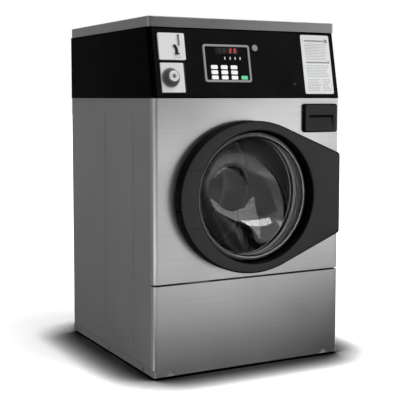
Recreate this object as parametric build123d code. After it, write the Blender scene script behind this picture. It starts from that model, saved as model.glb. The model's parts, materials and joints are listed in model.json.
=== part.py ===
from build123d import *
import os
from math import acos, atan2, cos, hypot, pi, sin, sqrt

# Commercial coin-operated front-loading washing machine, in millimetres.
# The front faces -Y, +Z is up, X = 0 is the middle of the cabinet and Z = 0 is the floor.
# Depths are counted from the flat front panel towards the back.

# Whole machine
cabinet_width = 683.0
cabinet_depth = 701.0
cabinet_height = 1110.0
corner_radius = 14.0
sheet = 2.0
overrun = 1.0
small_edge = 1.0
seat_gap = 0.3
running_gap = 0.06
embed_share = 0.9

# Heights of the main bands
foot_height = 8.0
rail_top = 29.0
panel_joint_gap = 6.0
control_height = 248.0
trim_band = 10.0
lid_lip = 32.0
hood_bottom = cabinet_height - control_height
trim_line = hood_bottom - trim_band

# The washing unit is drawn for this cabinet and follows a narrower, lower or shallower one
design_width = 683.0
design_depth = 701.0
design_room = 833.0
height_unit = (hood_bottom - rail_top) / design_room
depth_unit = cabinet_depth / design_depth
unit = min(cabinet_width / design_width, height_unit, depth_unit)
axis_drop = 310.0
panel_joint_drop = 259.0
axis_height = hood_bottom - axis_drop * height_unit
panel_joint_height = axis_height - panel_joint_drop * height_unit

# The door's place in front of the panel
door_back_gap = 2.0
door_thickness = 40.0

# Rear connections stand out of the rear panel by this much
rear_reach = 38.0

# Derived places
half_width = cabinet_width / 2
door_proud = door_back_gap + door_thickness
front_y = door_proud - (door_proud + cabinet_depth + rear_reach) / 2
rear_y = front_y + cabinet_depth
hood_top = cabinet_height - lid_lip


def block(x0, x1, y0, y1, z0, z1):
    """A box between two corners."""
    size = Box(x1 - x0, y1 - y0, z1 - z0)
    return Pos((x0 + x1) / 2, (y0 + y1) / 2, (z0 + z1) / 2) * size


def rod_y(x, z, y0, y1, radius):
    """A round bar along Y."""
    return Pos(x, (y0 + y1) / 2, z) * Rot(90, 0, 0) * Cylinder(radius, y1 - y0)


def ring_y(x, z, y0, y1, outer, inner):
    """A round sleeve along Y."""
    return rod_y(x, z, y0, y1, outer) - rod_y(x, z, y0 - overrun, y1 + overrun, inner)


def rod_z(x, y, z0, z1, radius):
    """A round bar along Z."""
    return Pos(x, y, (z0 + z1) / 2) * Cylinder(radius, z1 - z0)


def rod_x(x0, x1, y, z, radius):
    """A round bar along X."""
    return Pos((x0 + x1) / 2, y, z) * Rot(0, 90, 0) * Cylinder(radius, x1 - x0)


def mirror_x(shape):
    """The same shape on the other side of the cabinet."""
    return mirror(shape, about=Plane.YZ)


def group(shapes):
    """Keeps separate solids together in one node."""
    solids = []
    for shape in shapes:
        solids.extend(shape.solids())
    return Compound(children=solids)


def revolve_about_drum(points):
    """Turns a closed (radius, depth) outline about the drum axis."""
    outline = make_face(Polyline([(radius, depth) for radius, depth in points], close=True))
    place = Plane(origin=(0, front_y, axis_height), x_dir=(1, 0, 0), z_dir=(0, 0, 1))
    return revolve(place * outline, Axis((0, front_y, axis_height), (0, 1, 0)))


# Base frame: a ring of folded rails, corner plates with threaded bosses and two cross members
rail_wall = 3.0
rail_flange = 32.0
corner_plate = 96.0
cross_member_width = 70.0
cross_member_depths = (170.0 * unit, 400.0 * unit)
foot_inset_x = 57.0
foot_inset_front = 57.0
foot_inset_rear = 60.0
boss_radius = 11.0
boss_length = 9.0
foot_stem_radius = 6.0
anchor_hole_radius = 5.5
anchor_inset = 30.0


def foot_places():
    """The four levelling feet, front left first."""
    x = half_width - foot_inset_x
    y_front = front_y + foot_inset_front
    y_rear = rear_y - foot_inset_rear
    return [(-x, y_front), (x, y_front), (-x, y_rear), (x, y_rear)]


def make_base_frame():
    """The welded base that everything stands on."""
    outer = block(-half_width, half_width, front_y + sheet, rear_y, foot_height, rail_top)
    inner_front = front_y + sheet + rail_wall
    well = block(-half_width + rail_wall, half_width - rail_wall, inner_front, rear_y - rail_wall,
                 foot_height - overrun, rail_top - rail_wall)
    mouth = block(-half_width + rail_flange, half_width - rail_flange, inner_front + rail_flange,
                  rear_y - rail_flange, rail_top - rail_wall - overrun, rail_top + overrun)
    frame = outer - well - mouth
    for depth in cross_member_depths:
        y = front_y + depth
        frame = frame + block(-half_width + rail_wall, half_width - rail_wall, y - cross_member_width / 2,
                              y + cross_member_width / 2, rail_top - rail_wall, rail_top)
    for x, y in foot_places():
        side_x = -1 if x < 0 else 1
        plate = block(-corner_plate / 2, corner_plate / 2, -corner_plate / 2, corner_plate / 2,
                      rail_top - rail_wall, rail_top)
        frame = frame + Pos(side_x * (half_width - rail_wall - corner_plate / 2), y, 0) * plate
        frame = frame + rod_z(x, y, rail_top - rail_wall - boss_length, rail_top - rail_wall, boss_radius)
        frame = frame - rod_z(x, y, foot_height, rail_top + overrun, foot_stem_radius + running_gap)
        frame = frame - rod_z(x - side_x * anchor_inset, y, foot_height, rail_top + overrun, anchor_hole_radius)
    return frame


# Levelling feet
foot_pad_radius = 20.0
foot_pad_thickness = 7.0
foot_stem_top = 48.0
foot_nut_radius = 9.0
foot_nut_height = 5.0


def make_foot(x, y):
    """A rubber pad with its threaded stem and lock nut."""
    pad = rod_z(x, y, 0, foot_pad_thickness, foot_pad_radius)
    pad = chamfer(pad.edges().group_by(Axis.Z)[-1], foot_pad_thickness / 3)
    stem = rod_z(x, y, foot_pad_thickness, foot_stem_top, foot_stem_radius)
    nut = Pos(x, y, foot_pad_thickness) * extrude(RegularPolygon(foot_nut_radius, 6), foot_nut_height)
    return pad + stem + nut


# Side panels: raised fields pressed into a flat sheet, with folded rear and top flanges
side_sink = 1.5
side_flange = 14.0
front_return = 22.0
seam_gap = 0.6
groove_depth = 0.8
groove_height = 1.2
field_rise = 1.5
field_draft = 45.0
field_bottom = rail_top + 51.0
field_top = trim_line - 32.0
front_field_span = (157.0 * depth_unit, 312.0 * depth_unit)
rear_field_span = (385.0 * depth_unit, 575.0 * depth_unit)
hanger_height = axis_height + 238.0 * unit
hanger_thickness = 5.0
hanger_width = 40.0
spring_x = half_width - 44.5
spring_depths = (300.0 * unit, 430.0 * unit)
spring_radius = 14.0
spring_eye_radius = 3.0


def make_left_side_panel():
    """The left cabinet side with its spring hangers welded on."""
    outer_x = -half_width + side_sink
    y0 = front_y + front_return + seam_gap
    panel = block(outer_x, outer_x + sheet, y0, rear_y - sheet, rail_top, hood_bottom)
    rear_flange_y = rear_y - 2 * sheet
    panel = panel + block(outer_x, outer_x + side_flange, rear_flange_y, rear_y - sheet, rail_top, hood_bottom)
    panel = panel + block(outer_x, outer_x + side_flange, y0, rear_y - sheet, hood_bottom - sheet, hood_bottom)
    panel = panel + block(outer_x, outer_x + side_flange, y0, y0 + sheet, rail_top, hood_bottom)
    panel = panel - block(outer_x - overrun, outer_x + groove_depth, y0, rear_y, trim_line - groove_height,
                          trim_line)
    for near, far in (front_field_span, rear_field_span):
        width = far - near
        height = field_top - field_bottom
        sketch = Plane(origin=(outer_x, front_y + (near + far) / 2, (field_top + field_bottom) / 2),
                       x_dir=(0, -1, 0), z_dir=(-1, 0, 0)) * RectangleRounded(width, height, corner_radius)
        panel = panel + extrude(sketch, field_rise, taper=field_draft)
        pocket = Plane(origin=(outer_x + sheet, front_y + (near + far) / 2, (field_top + field_bottom) / 2),
                       x_dir=(0, -1, 0), z_dir=(-1, 0, 0))
        pocket = pocket * RectangleRounded(width - sheet, height - sheet, corner_radius)
        panel = panel - extrude(pocket, field_rise, taper=field_draft)
    for depth in spring_depths:
        y = front_y + depth
        root_x = outer_x + sheet - field_rise
        hanger = block(root_x, -spring_x + spring_radius, y - hanger_width / 2, y + hanger_width / 2,
                       hanger_height, hanger_height + hanger_thickness)
        gusset = block(root_x, -spring_x - spring_radius, y - hanger_thickness / 2,
                       y + hanger_thickness / 2, hanger_height - hanger_width / 2, hanger_height)
        panel = panel + hanger + gusset
    return panel


# Front panels: folded sheets that wrap round the rounded front corners
door_hole_radius = 200.0 * unit
lip_depth = 12.0 * unit
lip_wall = 3.0
flange_depth = 14.0
drawer_x = half_width - 81.0
drawer_z = hood_bottom - 66.5 * unit
drawer_front_width = 134.0
drawer_front_height = 91.0 * unit
housing_width = 120.0
housing_bottom = hood_bottom - 94.0 * unit
housing_top = hood_bottom - 24.0 * unit
hinge_x = -261.8 * unit
hinge_proud = 34.0
hinge_ear_heights = (axis_height - 34.0 * unit, axis_height + 29.0 * unit)
hinge_ear_thickness = 5.0
hinge_neck_x = -239.8 * unit
hinge_neck_width = 7.0 * unit
hinge_slot_gap = 1.0
latch_x = 254.0 * unit
latch_slot_width = 22.0
latch_slot_height = 26.0
notch_width = 34.0
notch_top_width = 14.0
notch_height = 12.0
lower_panel_bottom = 10.0
bottom_corner = 12.0


def folded_front(z0, z1):
    """A sheet with rounded front corners and short side returns."""
    outer = block(-half_width, half_width, front_y, front_y + front_return, z0, z1)
    outer = fillet(outer.edges().filter_by(Axis.Z).group_by(Axis.Y)[0], corner_radius)
    inner = block(-half_width + sheet, half_width - sheet, front_y + sheet, front_y + front_return + overrun,
                  z0 - overrun, z1 + overrun)
    inner = fillet(inner.edges().filter_by(Axis.Z).group_by(Axis.Y)[0], corner_radius - sheet)
    return outer - inner


def front_flange(z0, z1):
    """A folded edge behind the front sheet."""
    return block(-half_width + corner_radius, half_width - corner_radius, front_y + sheet / 2,
                 front_y + flange_depth, z0, z1)


def make_front_panel():
    """The stainless panel with the door hole, drawer opening, hinge and latch slots."""
    bottom = panel_joint_height + panel_joint_gap / 2
    panel = folded_front(bottom, hood_bottom)
    panel = panel + front_flange(bottom, bottom + sheet)
    panel = panel + front_flange(hood_bottom - sheet, hood_bottom)
    panel = panel + rod_y(0, axis_height, front_y + sheet / 2, front_y + lip_depth, door_hole_radius + lip_wall)
    panel = panel - rod_y(0, axis_height, front_y - overrun, front_y + lip_depth + overrun, door_hole_radius)
    panel = panel - block(-half_width, half_width, front_y - overrun, front_y + groove_depth,
                          trim_line - groove_height, trim_line)
    panel = panel - block(drawer_x - housing_width / 2, drawer_x + housing_width / 2, front_y - overrun,
                          front_y + sheet + overrun, housing_bottom, housing_top)
    for z in hinge_ear_heights:
        panel = panel - block(hinge_neck_x - hinge_slot_gap, hinge_neck_x + hinge_neck_width + hinge_slot_gap,
                              front_y - overrun, front_y + sheet + overrun, z - hinge_slot_gap,
                              z + hinge_ear_thickness + hinge_slot_gap)
    return panel - block(latch_x - latch_slot_width / 2, latch_x + latch_slot_width / 2, front_y - overrun,
                         front_y + sheet + overrun, axis_height - latch_slot_height / 2,
                         axis_height + latch_slot_height / 2)


def make_lower_front_panel():
    """The stainless kick panel with a notch over each front foot."""
    top = panel_joint_height - panel_joint_gap / 2
    panel = folded_front(lower_panel_bottom, top) + front_flange(top - sheet, top)
    clear = block(-half_width, half_width, front_y + sheet, front_y + front_return + overrun, 0, rail_top)
    panel = panel - clear
    for x in (-half_width + foot_inset_x, half_width - foot_inset_x):
        notch = make_face(Polyline([(x - notch_width / 2, lower_panel_bottom - overrun),
                                    (x - notch_top_width / 2, lower_panel_bottom + notch_height),
                                    (x + notch_top_width / 2, lower_panel_bottom + notch_height),
                                    (x + notch_width / 2, lower_panel_bottom - overrun)], close=True))
        front = Plane(origin=(0, front_y - overrun, 0), x_dir=(1, 0, 0), z_dir=(0, -1, 0))
        panel = panel - extrude(front * notch, -(sheet + 2 * overrun))
    for side in (-1, 1):
        corner = make_face(Polyline([(side * half_width, lower_panel_bottom),
                                     (side * (half_width - bottom_corner), lower_panel_bottom),
                                     (side * half_width, lower_panel_bottom + bottom_corner)], close=True))
        front = Plane(origin=(0, front_y - overrun, 0), x_dir=(1, 0, 0), z_dir=(0, -1, 0))
        panel = panel - extrude(front * corner, -(front_return + 2 * overrun))
    return panel


# Rear panel, its access cover and the holes for the connections
access_hole_radius = 205.0 * unit
access_cover_size = 440.0 * unit
access_cover_rise = 14.0
louvre_count = 9
louvre_width = 150.0
louvre_height = 4.0
louvre_pitch = 12.0
louvre_bottom = 120.0
inlet_xs = (half_width - 106.5, half_width - 46.5)
fill_hose_radius = 9.0
hose_clearance = 1.0
inlet_height = hanger_height + hanger_thickness + hose_clearance + fill_hose_radius
spigot_radius = 13.2
spigot_wall = 2.5
neck_step = 1.0
neck_reach = 2.0
inlet_body_radius = 20.0
drain_x = 90.0 * unit
drain_height = 95.0
drain_radius = 16.0
gland_x = -half_width + 71.5
gland_height = trim_line - 62.0
gland_radius = 11.0
hole_gap = 0.5


def make_rear_panel():
    """The flat back with its holes and cooling slots."""
    panel_half = half_width - side_sink
    panel = block(-panel_half, panel_half, rear_y - sheet, rear_y, rail_top, hood_bottom)
    panel = panel - rod_y(0, axis_height, rear_y - sheet - overrun, rear_y + overrun, access_hole_radius)
    for x in inlet_xs:
        panel = panel - rod_y(x, inlet_height, rear_y - sheet - overrun, rear_y + overrun,
                              spigot_radius + hole_gap)
    panel = panel - rod_y(drain_x, drain_height, rear_y - sheet - overrun, rear_y + overrun,
                          drain_radius + hole_gap)
    panel = panel - rod_y(gland_x, gland_height, rear_y - sheet - overrun, rear_y + overrun, gland_radius)
    for side in (-1, 1):
        for step in range(louvre_count):
            z = louvre_bottom + step * louvre_pitch
            x = side * louvre_width
            panel = panel - block(x - louvre_width / 2, x + louvre_width / 2, rear_y - sheet - overrun,
                                  rear_y + overrun, z, z + louvre_height)
    return panel


def make_rear_access_cover():
    """A pressed cover over the drum pulley."""
    half = access_cover_size / 2
    cover = block(-half, half, rear_y, rear_y + access_cover_rise, axis_height - half, axis_height + half)
    wall = 2 * sheet
    cover = chamfer(cover.edges().group_by(Axis.Y)[-1], wall)
    inner = block(-half + wall, half - wall, rear_y - overrun, rear_y + access_cover_rise - sheet,
                  axis_height - half + wall, axis_height + half - wall)
    return cover - inner


# Lid and control hood
hood_setback = 43.0
hood_wall = 3.0
lid_setback = 38.0
lid_corner = 12.0
lid_edge = 3.0
fascia_margin_u = 14.0
fascia_margin_bottom = 5.0
fascia_margin_top = 4.0
fascia_thickness = 2.0
window_margin = 8.0
slope_angle = atan2(hood_setback, hood_top - hood_bottom)
slope_length = hypot(hood_setback, hood_top - hood_bottom)
fascia_frame = Plane(origin=(-half_width, front_y, hood_bottom), x_dir=(1, 0, 0),
                     z_dir=(0, -cos(slope_angle), sin(slope_angle)))


def make_top_panel():
    """The stainless lid, a shallow pan turned upside down."""
    y0 = front_y + lid_setback
    lid = block(-half_width, half_width, y0, rear_y, hood_top, cabinet_height)
    lid = fillet(lid.edges().filter_by(Axis.Z), lid_corner)
    lid = fillet(lid.edges().group_by(Axis.Z)[-1], lid_edge)
    inner = block(-half_width + sheet, half_width - sheet, y0 + sheet, rear_y - sheet, hood_top - overrun,
                  cabinet_height - sheet)
    inner = fillet(inner.edges().filter_by(Axis.Z), lid_corner - sheet)
    return lid - inner


def hood_prism(inset, bottom_inset):
    """The hood's side outline, set in by a wall, across the cabinet."""
    y_bottom = front_y + inset
    y_top = front_y + hood_setback + inset
    y_rear = rear_y - inset
    bottom = hood_bottom - bottom_inset
    points = [(y_bottom, bottom), (y_rear, bottom), (y_rear, hood_top - inset), (y_top, hood_top - inset)]
    side = Plane(origin=(-half_width + inset, 0, 0), x_dir=(0, 1, 0), z_dir=(1, 0, 0))
    return extrude(side * make_face(Polyline(points, close=True)), cabinet_width - 2 * inset)


def make_control_housing():
    """The black hood shell, open below, with a window behind the fascia."""
    outer = hood_prism(0, 0)
    slanted = outer.edges().filter_by(Axis(fascia_frame.origin, fascia_frame.y_dir))
    outer = fillet(slanted, corner_radius)
    shell = outer - hood_prism(hood_wall, 2 * hood_wall)
    window = fascia_box(fascia_margin_u + window_margin, cabinet_width - fascia_margin_u - window_margin,
                        fascia_margin_bottom + window_margin,
                        slope_length - fascia_margin_top - window_margin, -2 * hood_wall, overrun)
    roof = block(-half_width + lid_setback, half_width - lid_setback, front_y + hood_setback + lid_setback,
                 rear_y - lid_setback, hood_top - hood_wall - overrun, hood_top + overrun)
    return shell - window - roof


def fascia_box(u0, u1, v0, v1, w0, w1):
    """A box in the fascia's own frame: across, up the slope and out of it."""
    return fascia_frame.location * block(u0, u1, v0, v1, w0, w1)


def fascia_slab(u0, u1, v0, v1, w0, w1, radius):
    """A plate with rounded corners in the fascia's own frame."""
    sketch = Pos((u0 + u1) / 2, (v0 + v1) / 2, w0) * RectangleRounded(u1 - u0, v1 - v0, radius)
    return fascia_frame.location * extrude(sketch, w1 - w0)


def fascia_rod(u, v, w0, w1, radius):
    """A round bar square to the fascia."""
    return fascia_frame.location * Pos(u, v, (w0 + w1) / 2) * Cylinder(radius, w1 - w0)


def outer_edges(shape):
    """The edges of the face that looks out of the fascia."""
    return shape.faces().sort_by(Axis(fascia_frame.origin, fascia_frame.z_dir))[-1].edges()


# Control unit on the fascia, in fascia coordinates
bezel_u = (180.0, 347.0)
bezel_v = (50.0, 169.5)
bezel_band = 6.5
bezel_rise = 3.5
bezel_corner = 9.0
window_u = (225.0, 306.5)
window_v = (139.5, 159.5)
window_rise = 0.4
mark_us = (257.0, 276.0, 294.0, 312.0)
mark_v = 126.5
mark_width = 6.0
mark_height = 9.0
port_u = 369.0
port_v = 161.5
port_radius = 10.5
port_rise = 2.5
key_columns = 3
key_rows = 3
key_left_u = 216.0
key_top_v = 97.6
key_pitch_u = 35.0
key_pitch_v = 16.4
key_width = 23.0
key_height = 12.0
key_corner = 3.0
key_gap = 0.4
key_rise = 2.2
key_stem = 4.0
key_flange = 1.2
key_flange_thickness = 1.5
plate_u = (cabinet_width - 136.5, cabinet_width - 24.5)
plate_v = (14.0, 210.0)
plate_rise = 0.8
plate_corner = 6.0
board_depth = 12.0
board_thickness = 2.0
board_margin = 10.5
switch_height = 6.0
switch_size = 6.0


def key_places():
    """Centres of the nine programme keys, left to right from the top, then the start key."""
    places = []
    for row in range(key_rows):
        for column in range(key_columns):
            places.append((key_left_u + column * key_pitch_u, key_top_v - row * key_pitch_v))
    places.append((key_left_u + key_columns * key_pitch_u, key_top_v - (key_rows - 1) * key_pitch_v))
    return places


def make_key(u, v):
    """One push key: a cap through the fascia and a flange that holds it in."""
    half_u = key_width / 2
    half_v = key_height / 2
    top = fascia_thickness + key_rise
    cap = fascia_slab(u - half_u, u + half_u, v - half_v, v + half_v, -key_stem, top, key_corner)
    flange = fascia_slab(u - half_u - key_flange, u + half_u + key_flange, v - half_v - key_flange,
                         v + half_v + key_flange, -key_stem, -key_stem + key_flange_thickness, key_corner)
    return cap + flange


def make_control_fascia():
    """The black front plate with its holes."""
    plate = fascia_slab(fascia_margin_u, cabinet_width - fascia_margin_u, fascia_margin_bottom,
                        slope_length - fascia_margin_top, 0, fascia_thickness, hood_wall)
    for u, v in key_places():
        plate = plate - fascia_slab(u - key_width / 2 - key_gap, u + key_width / 2 + key_gap,
                                    v - key_height / 2 - key_gap, v + key_height / 2 + key_gap,
                                    -overrun, fascia_thickness + overrun, key_corner)
    plate = plate - fascia_slab(window_u[0], window_u[1], window_v[0], window_v[1], -overrun,
                                fascia_thickness + overrun, small_edge)
    plate = plate - fascia_rod(port_u, port_v, -overrun, fascia_thickness + overrun, port_radius)
    for u in mark_us:
        plate = plate - fascia_slab(u - mark_width / 2, u + mark_width / 2, mark_v - mark_height / 2,
                                    mark_v + mark_height / 2, -overrun, fascia_thickness + overrun, small_edge)
    plate = plate - fascia_box(vault_u[0], vault_u[1], vault_v[0], vault_v[1], -overrun,
                               fascia_thickness + overrun)
    return plate - fascia_box(slot_u - acceptor_half, slot_u + acceptor_half, slot_v[0], slot_v[1], -overrun,
                              fascia_thickness + overrun)


def make_display_bezel():
    """The raised grey frame round the display and keys."""
    low = fascia_thickness
    top = fascia_thickness + bezel_rise
    frame = fascia_slab(bezel_u[0], bezel_u[1], bezel_v[0], bezel_v[1], low, top, bezel_corner)
    frame = chamfer(outer_edges(frame), small_edge)
    inner = fascia_slab(bezel_u[0] + bezel_band, bezel_u[1] - bezel_band, bezel_v[0] + bezel_band,
                        bezel_v[1] - bezel_band, low - overrun, top + overrun, bezel_corner / 2)
    return frame - inner


def make_panel_lenses():
    """Display window, four indicator lenses and the round port lens."""
    top = fascia_thickness + window_rise
    lenses = [fascia_slab(window_u[0], window_u[1], window_v[0], window_v[1], 0, top, small_edge)]
    for u in mark_us:
        lenses.append(fascia_slab(u - mark_width / 2, u + mark_width / 2, mark_v - mark_height / 2,
                                  mark_v + mark_height / 2, 0, top, small_edge))
    lens = fascia_rod(port_u, port_v, 0, fascia_thickness + port_rise, port_radius)
    lens = chamfer(outer_edges(lens), small_edge)
    lenses.append(lens)
    return group(lenses)


def make_instruction_plate():
    """The pale plate at the right of the fascia."""
    return fascia_slab(plate_u[0], plate_u[1], plate_v[0], plate_v[1], fascia_thickness,
                       fascia_thickness + plate_rise, plate_corner)


def make_control_board():
    """The circuit board on four posts behind the keys, with one switch for each key."""
    margin = board_margin
    board = fascia_box(bezel_u[0], bezel_u[1], bezel_v[0], bezel_v[1], -board_depth - board_thickness,
                       -board_depth)
    for u, v in key_places():
        board = board + fascia_box(u - switch_size / 2, u + switch_size / 2, v - switch_size / 2,
                                   v + switch_size / 2, -board_depth, -board_depth + switch_height)
    for u in (bezel_u[0] + margin / 2, bezel_u[1] - margin / 2):
        for v in (bezel_v[0] + margin / 2, bezel_v[1] - margin / 2):
            board = board + fascia_rod(u, v, -board_depth, 0, margin / 4)
    return board + fascia_box(window_u[0], window_u[1], window_v[0], window_v[1], -board_depth, -small_edge)


# Coin unit on the left of the fascia
slot_plate_u = (29.0, 117.5)
slot_plate_v = (117.0, 200.0)
slot_plate_rise = 6.0
slot_plate_corner = 4.0
slot_u = 96.0
slot_v = (162.0, 195.0)
slot_width = 3.4
slot_boss = 9.0
slot_boss_rise = 2.5
lever_u = 85.5
lever_v = (139.0, 166.0)
lever_width = 9.0
lever_travel = 8.0
lever_rise = 5.0
lever_gap = 0.5
ledge_u = (79.0, 102.0)
ledge_v = 125.0
ledge_height = 3.0
acceptor_half = 20.0
acceptor_depth = 70.0
acceptor_wall = 2.0
vault_frame_u = (28.0, 113.5)
vault_frame_v = (14.5, 109.0)
vault_u = (33.0, 103.0)
vault_v = (21.0, 105.0)
vault_depth = 160.0
vault_wall = 1.5
box_front_u = (29.0, 105.5)
box_front_v = (16.5, 107.0)
box_front_rise = 5.0
box_gap = 1.0
box_wall = 1.5
lock_u = 59.0
lock_v = 61.0
collar_radius = 29.5
collar_rise = 4.0
barrel_radius = 18.5
barrel_rise = 26.0
key_slot_width = 3.0
key_slot_depth = 8.0
rivet_radius = 3.0
rivet_u = 99.0
rivet_v = 26.0


def make_coin_slot_plate():
    """The upper coin plate with its raised coin slot, lever track and ledge."""
    low = fascia_thickness
    top = low + slot_plate_rise
    plate = fascia_slab(slot_plate_u[0], slot_plate_u[1], slot_plate_v[0], slot_plate_v[1], low, top,
                        slot_plate_corner)
    plate = plate + fascia_slab(slot_u - slot_boss / 2, slot_u + slot_boss / 2, slot_v[0] - ledge_height,
                                slot_v[1] + ledge_height, top, top + slot_boss_rise, slot_boss / 2 - small_edge)
    plate = plate + fascia_box(ledge_u[0], ledge_u[1], ledge_v, ledge_v + ledge_height, top,
                               top + slot_boss_rise)
    plate = plate - fascia_box(slot_u - slot_width / 2, slot_u + slot_width / 2, slot_v[0], slot_v[1],
                               low - overrun, top + slot_boss_rise + overrun)
    track_half = lever_width / 4 + lever_gap
    return plate - fascia_slab(lever_u - track_half, lever_u + track_half,
                               lever_v[0] + lever_width / 4 - lever_travel, lever_v[1] - lever_width / 4,
                               low - overrun, top + overrun, track_half - small_edge / 2)


def make_coin_return_lever():
    """The small slide that frees a stuck coin."""
    top = fascia_thickness + slot_plate_rise
    half = lever_width / 2
    middle = (lever_v[0] + lever_v[1]) / 2
    knob = fascia_slab(lever_u - half, lever_u + half, lever_v[0], lever_v[1], top + seat_gap,
                       top + seat_gap + lever_rise, half - small_edge)
    stem = fascia_box(lever_u - half / 2, lever_u + half / 2, middle - half, middle + half,
                      fascia_thickness + seat_gap, top + seat_gap)
    return knob + stem


def make_coin_mechanism():
    """The coin acceptor behind the slot and the vault case that holds the coin box."""
    u0 = slot_u - acceptor_half
    u1 = slot_u + acceptor_half
    acceptor = fascia_box(u0, u1, slot_v[0], slot_v[1], -acceptor_depth, fascia_thickness)
    acceptor = acceptor - fascia_box(slot_u - slot_width / 2, slot_u + slot_width / 2, slot_v[0] - overrun,
                                     slot_v[1] - acceptor_wall, -acceptor_depth + acceptor_wall,
                                     fascia_thickness + overrun)
    chute_u1 = vault_u[1] - vault_wall
    chute = fascia_box(u0, chute_u1, vault_v[1], slot_v[0], -acceptor_depth, -acceptor_depth + acceptor_half)
    throat = fascia_box(u0 + acceptor_wall, chute_u1 - acceptor_wall, vault_v[1] - vault_wall - overrun,
                        slot_v[0] + overrun, -acceptor_depth + acceptor_wall,
                        -acceptor_depth + acceptor_half - acceptor_wall)
    case = fascia_box(vault_u[0], vault_u[1], vault_v[0], vault_v[1], -vault_depth, fascia_thickness)
    case = case + fascia_slab(vault_frame_u[0], vault_frame_u[1], vault_frame_v[0], vault_frame_v[1],
                              fascia_thickness, 2 * fascia_thickness, fascia_thickness)
    case = case - fascia_box(vault_u[0] + vault_wall, vault_u[1] - vault_wall, vault_v[0] + vault_wall,
                             vault_v[1] - vault_wall, -vault_depth + vault_wall, 2 * fascia_thickness + overrun)
    return group([acceptor, chute - throat, case - throat])


def make_coin_box():
    """The pull-out coin box with its thick front and lock collar."""
    low = 2 * fascia_thickness + seat_gap
    top = low + box_front_rise
    front = fascia_slab(box_front_u[0], box_front_u[1], box_front_v[0], box_front_v[1], low, top,
                        fascia_thickness)
    inset = vault_wall + box_gap
    u0 = vault_u[0] + inset
    u1 = vault_u[1] - inset
    v0 = vault_v[0] + inset
    v1 = vault_v[1] - inset
    back = -vault_depth + inset + vault_wall
    tray = fascia_box(u0, u1, v0, v1, back, low)
    tray = tray - fascia_box(u0 + box_wall, u1 - box_wall, v0 + box_wall, v1 + overrun, back + box_wall,
                             low - key_slot_depth)
    collar = fascia_rod(lock_u, lock_v, top, top + collar_rise, collar_radius)
    bore = fascia_rod(lock_u, lock_v, top, top + collar_rise + overrun, barrel_radius + running_gap)
    rivet = fascia_rod(rivet_u, rivet_v, top, top + rivet_radius / 2, rivet_radius)
    return front + tray + collar + rivet - bore


def make_vault_lock():
    """The round lock barrel with its keyway."""
    low = 2 * fascia_thickness + seat_gap + box_front_rise
    barrel = fascia_rod(lock_u, lock_v, low + running_gap, low + barrel_rise, barrel_radius)
    barrel = chamfer(outer_edges(barrel), small_edge)
    keyway = fascia_box(lock_u - key_slot_width / 2, lock_u + key_slot_width / 2, lock_v - key_slot_depth,
                        lock_v + key_slot_depth, low + barrel_rise - key_slot_depth,
                        low + barrel_rise + overrun)
    return barrel - keyway


# Door: an elliptical ring drawn out to a wedge near the right cabinet edge
ring_centre_x = 11.5 * unit
ring_half_width = 284.5 * unit
ring_half_height = 243.0 * unit
wedge_end_x = half_width - 26.5
wedge_end_half_height = 129.5 * unit
wedge_corner = 10.0
door_wall = 3.0
door_mouth_radius = 208.0 * unit
door_edge = 5.0
mouth_wall_back = 13.0
door_frame_plane = Plane(origin=(0, front_y, axis_height), x_dir=(1, 0, 0), z_dir=(0, -1, 0))
hinge_pin_radius = 2.5 * unit
hinge_arm_thickness = 6.5
knuckle_radius = 4.5 * unit
arm_plate_end = -214.0 * unit
arm_plate_thickness = 3.0
arm_plate_back = 16.0
arm_post_x = -235.0 * unit
arm_post_spread = 15.0
notch_gap = 1.0
glass_flange_radius = 214.0 * unit
glass_flange_thickness = 5.0
glass_wall = 5.0
bowl_depth = 163.0 * unit
bowl_end_radius = 115.0 * unit
bowl_mouth_radius = 192.0 * unit
bowl_lift = 30.0 * unit
bowl_stations_share = ((0.0, 0.0), (0.22, 0.07), (0.5, 0.28), (0.78, 0.60), (1.0, 1.0))
retainer_outer = 230.0 * unit
retainer_thickness = 4.0
boss_circle = 222.0 * unit
boss_count = 6
door_boss_radius = 5.5
strike_width = 4.0
strike_height = 14.0
strike_reach = 16.0
strike_hole = 8.0


def door_outline(inset):
    """The door's outline: an ellipse with two tangents to the wedge's end, set in by a wall."""
    a = ring_half_width - inset
    b = ring_half_height - inset
    end_x = wedge_end_x - ring_centre_x - inset
    end_z = wedge_end_half_height - inset
    reach = hypot(end_x / a, end_z / b)
    turn = atan2(end_z / b, end_x / a) + acos(1 / reach)
    touch = (ring_centre_x + a * cos(turn), b * sin(turn))
    tip = (ring_centre_x + end_x, end_z)
    oval = Pos(ring_centre_x, 0) * Ellipse(a, b)
    wedge = make_face(Polyline([(ring_centre_x, 0), touch, tip, (tip[0], -tip[1]), (touch[0], -touch[1])],
                               close=True))
    wedge = fillet(wedge.vertices().group_by(Axis.X)[-1], wedge_corner)
    return oval + wedge


def door_slab(sketch, w0, w1):
    """Extrudes a door sketch between two distances in front of the panel."""
    return extrude(door_frame_plane * Pos(0, 0, w0) * sketch, w1 - w0)


def door_disc(radius, w0, w1):
    """A disc about the drum axis, between two distances in front of the panel."""
    return rod_y(0, axis_height, front_y - w1, front_y - w0, radius)


def boss_places():
    """The screw bosses that hold the retaining ring."""
    places = []
    for step in range(boss_count):
        turn = 2 * pi * (step + 0.5) / boss_count
        places.append((boss_circle * cos(turn), axis_height + boss_circle * sin(turn)))
    return places


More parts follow.
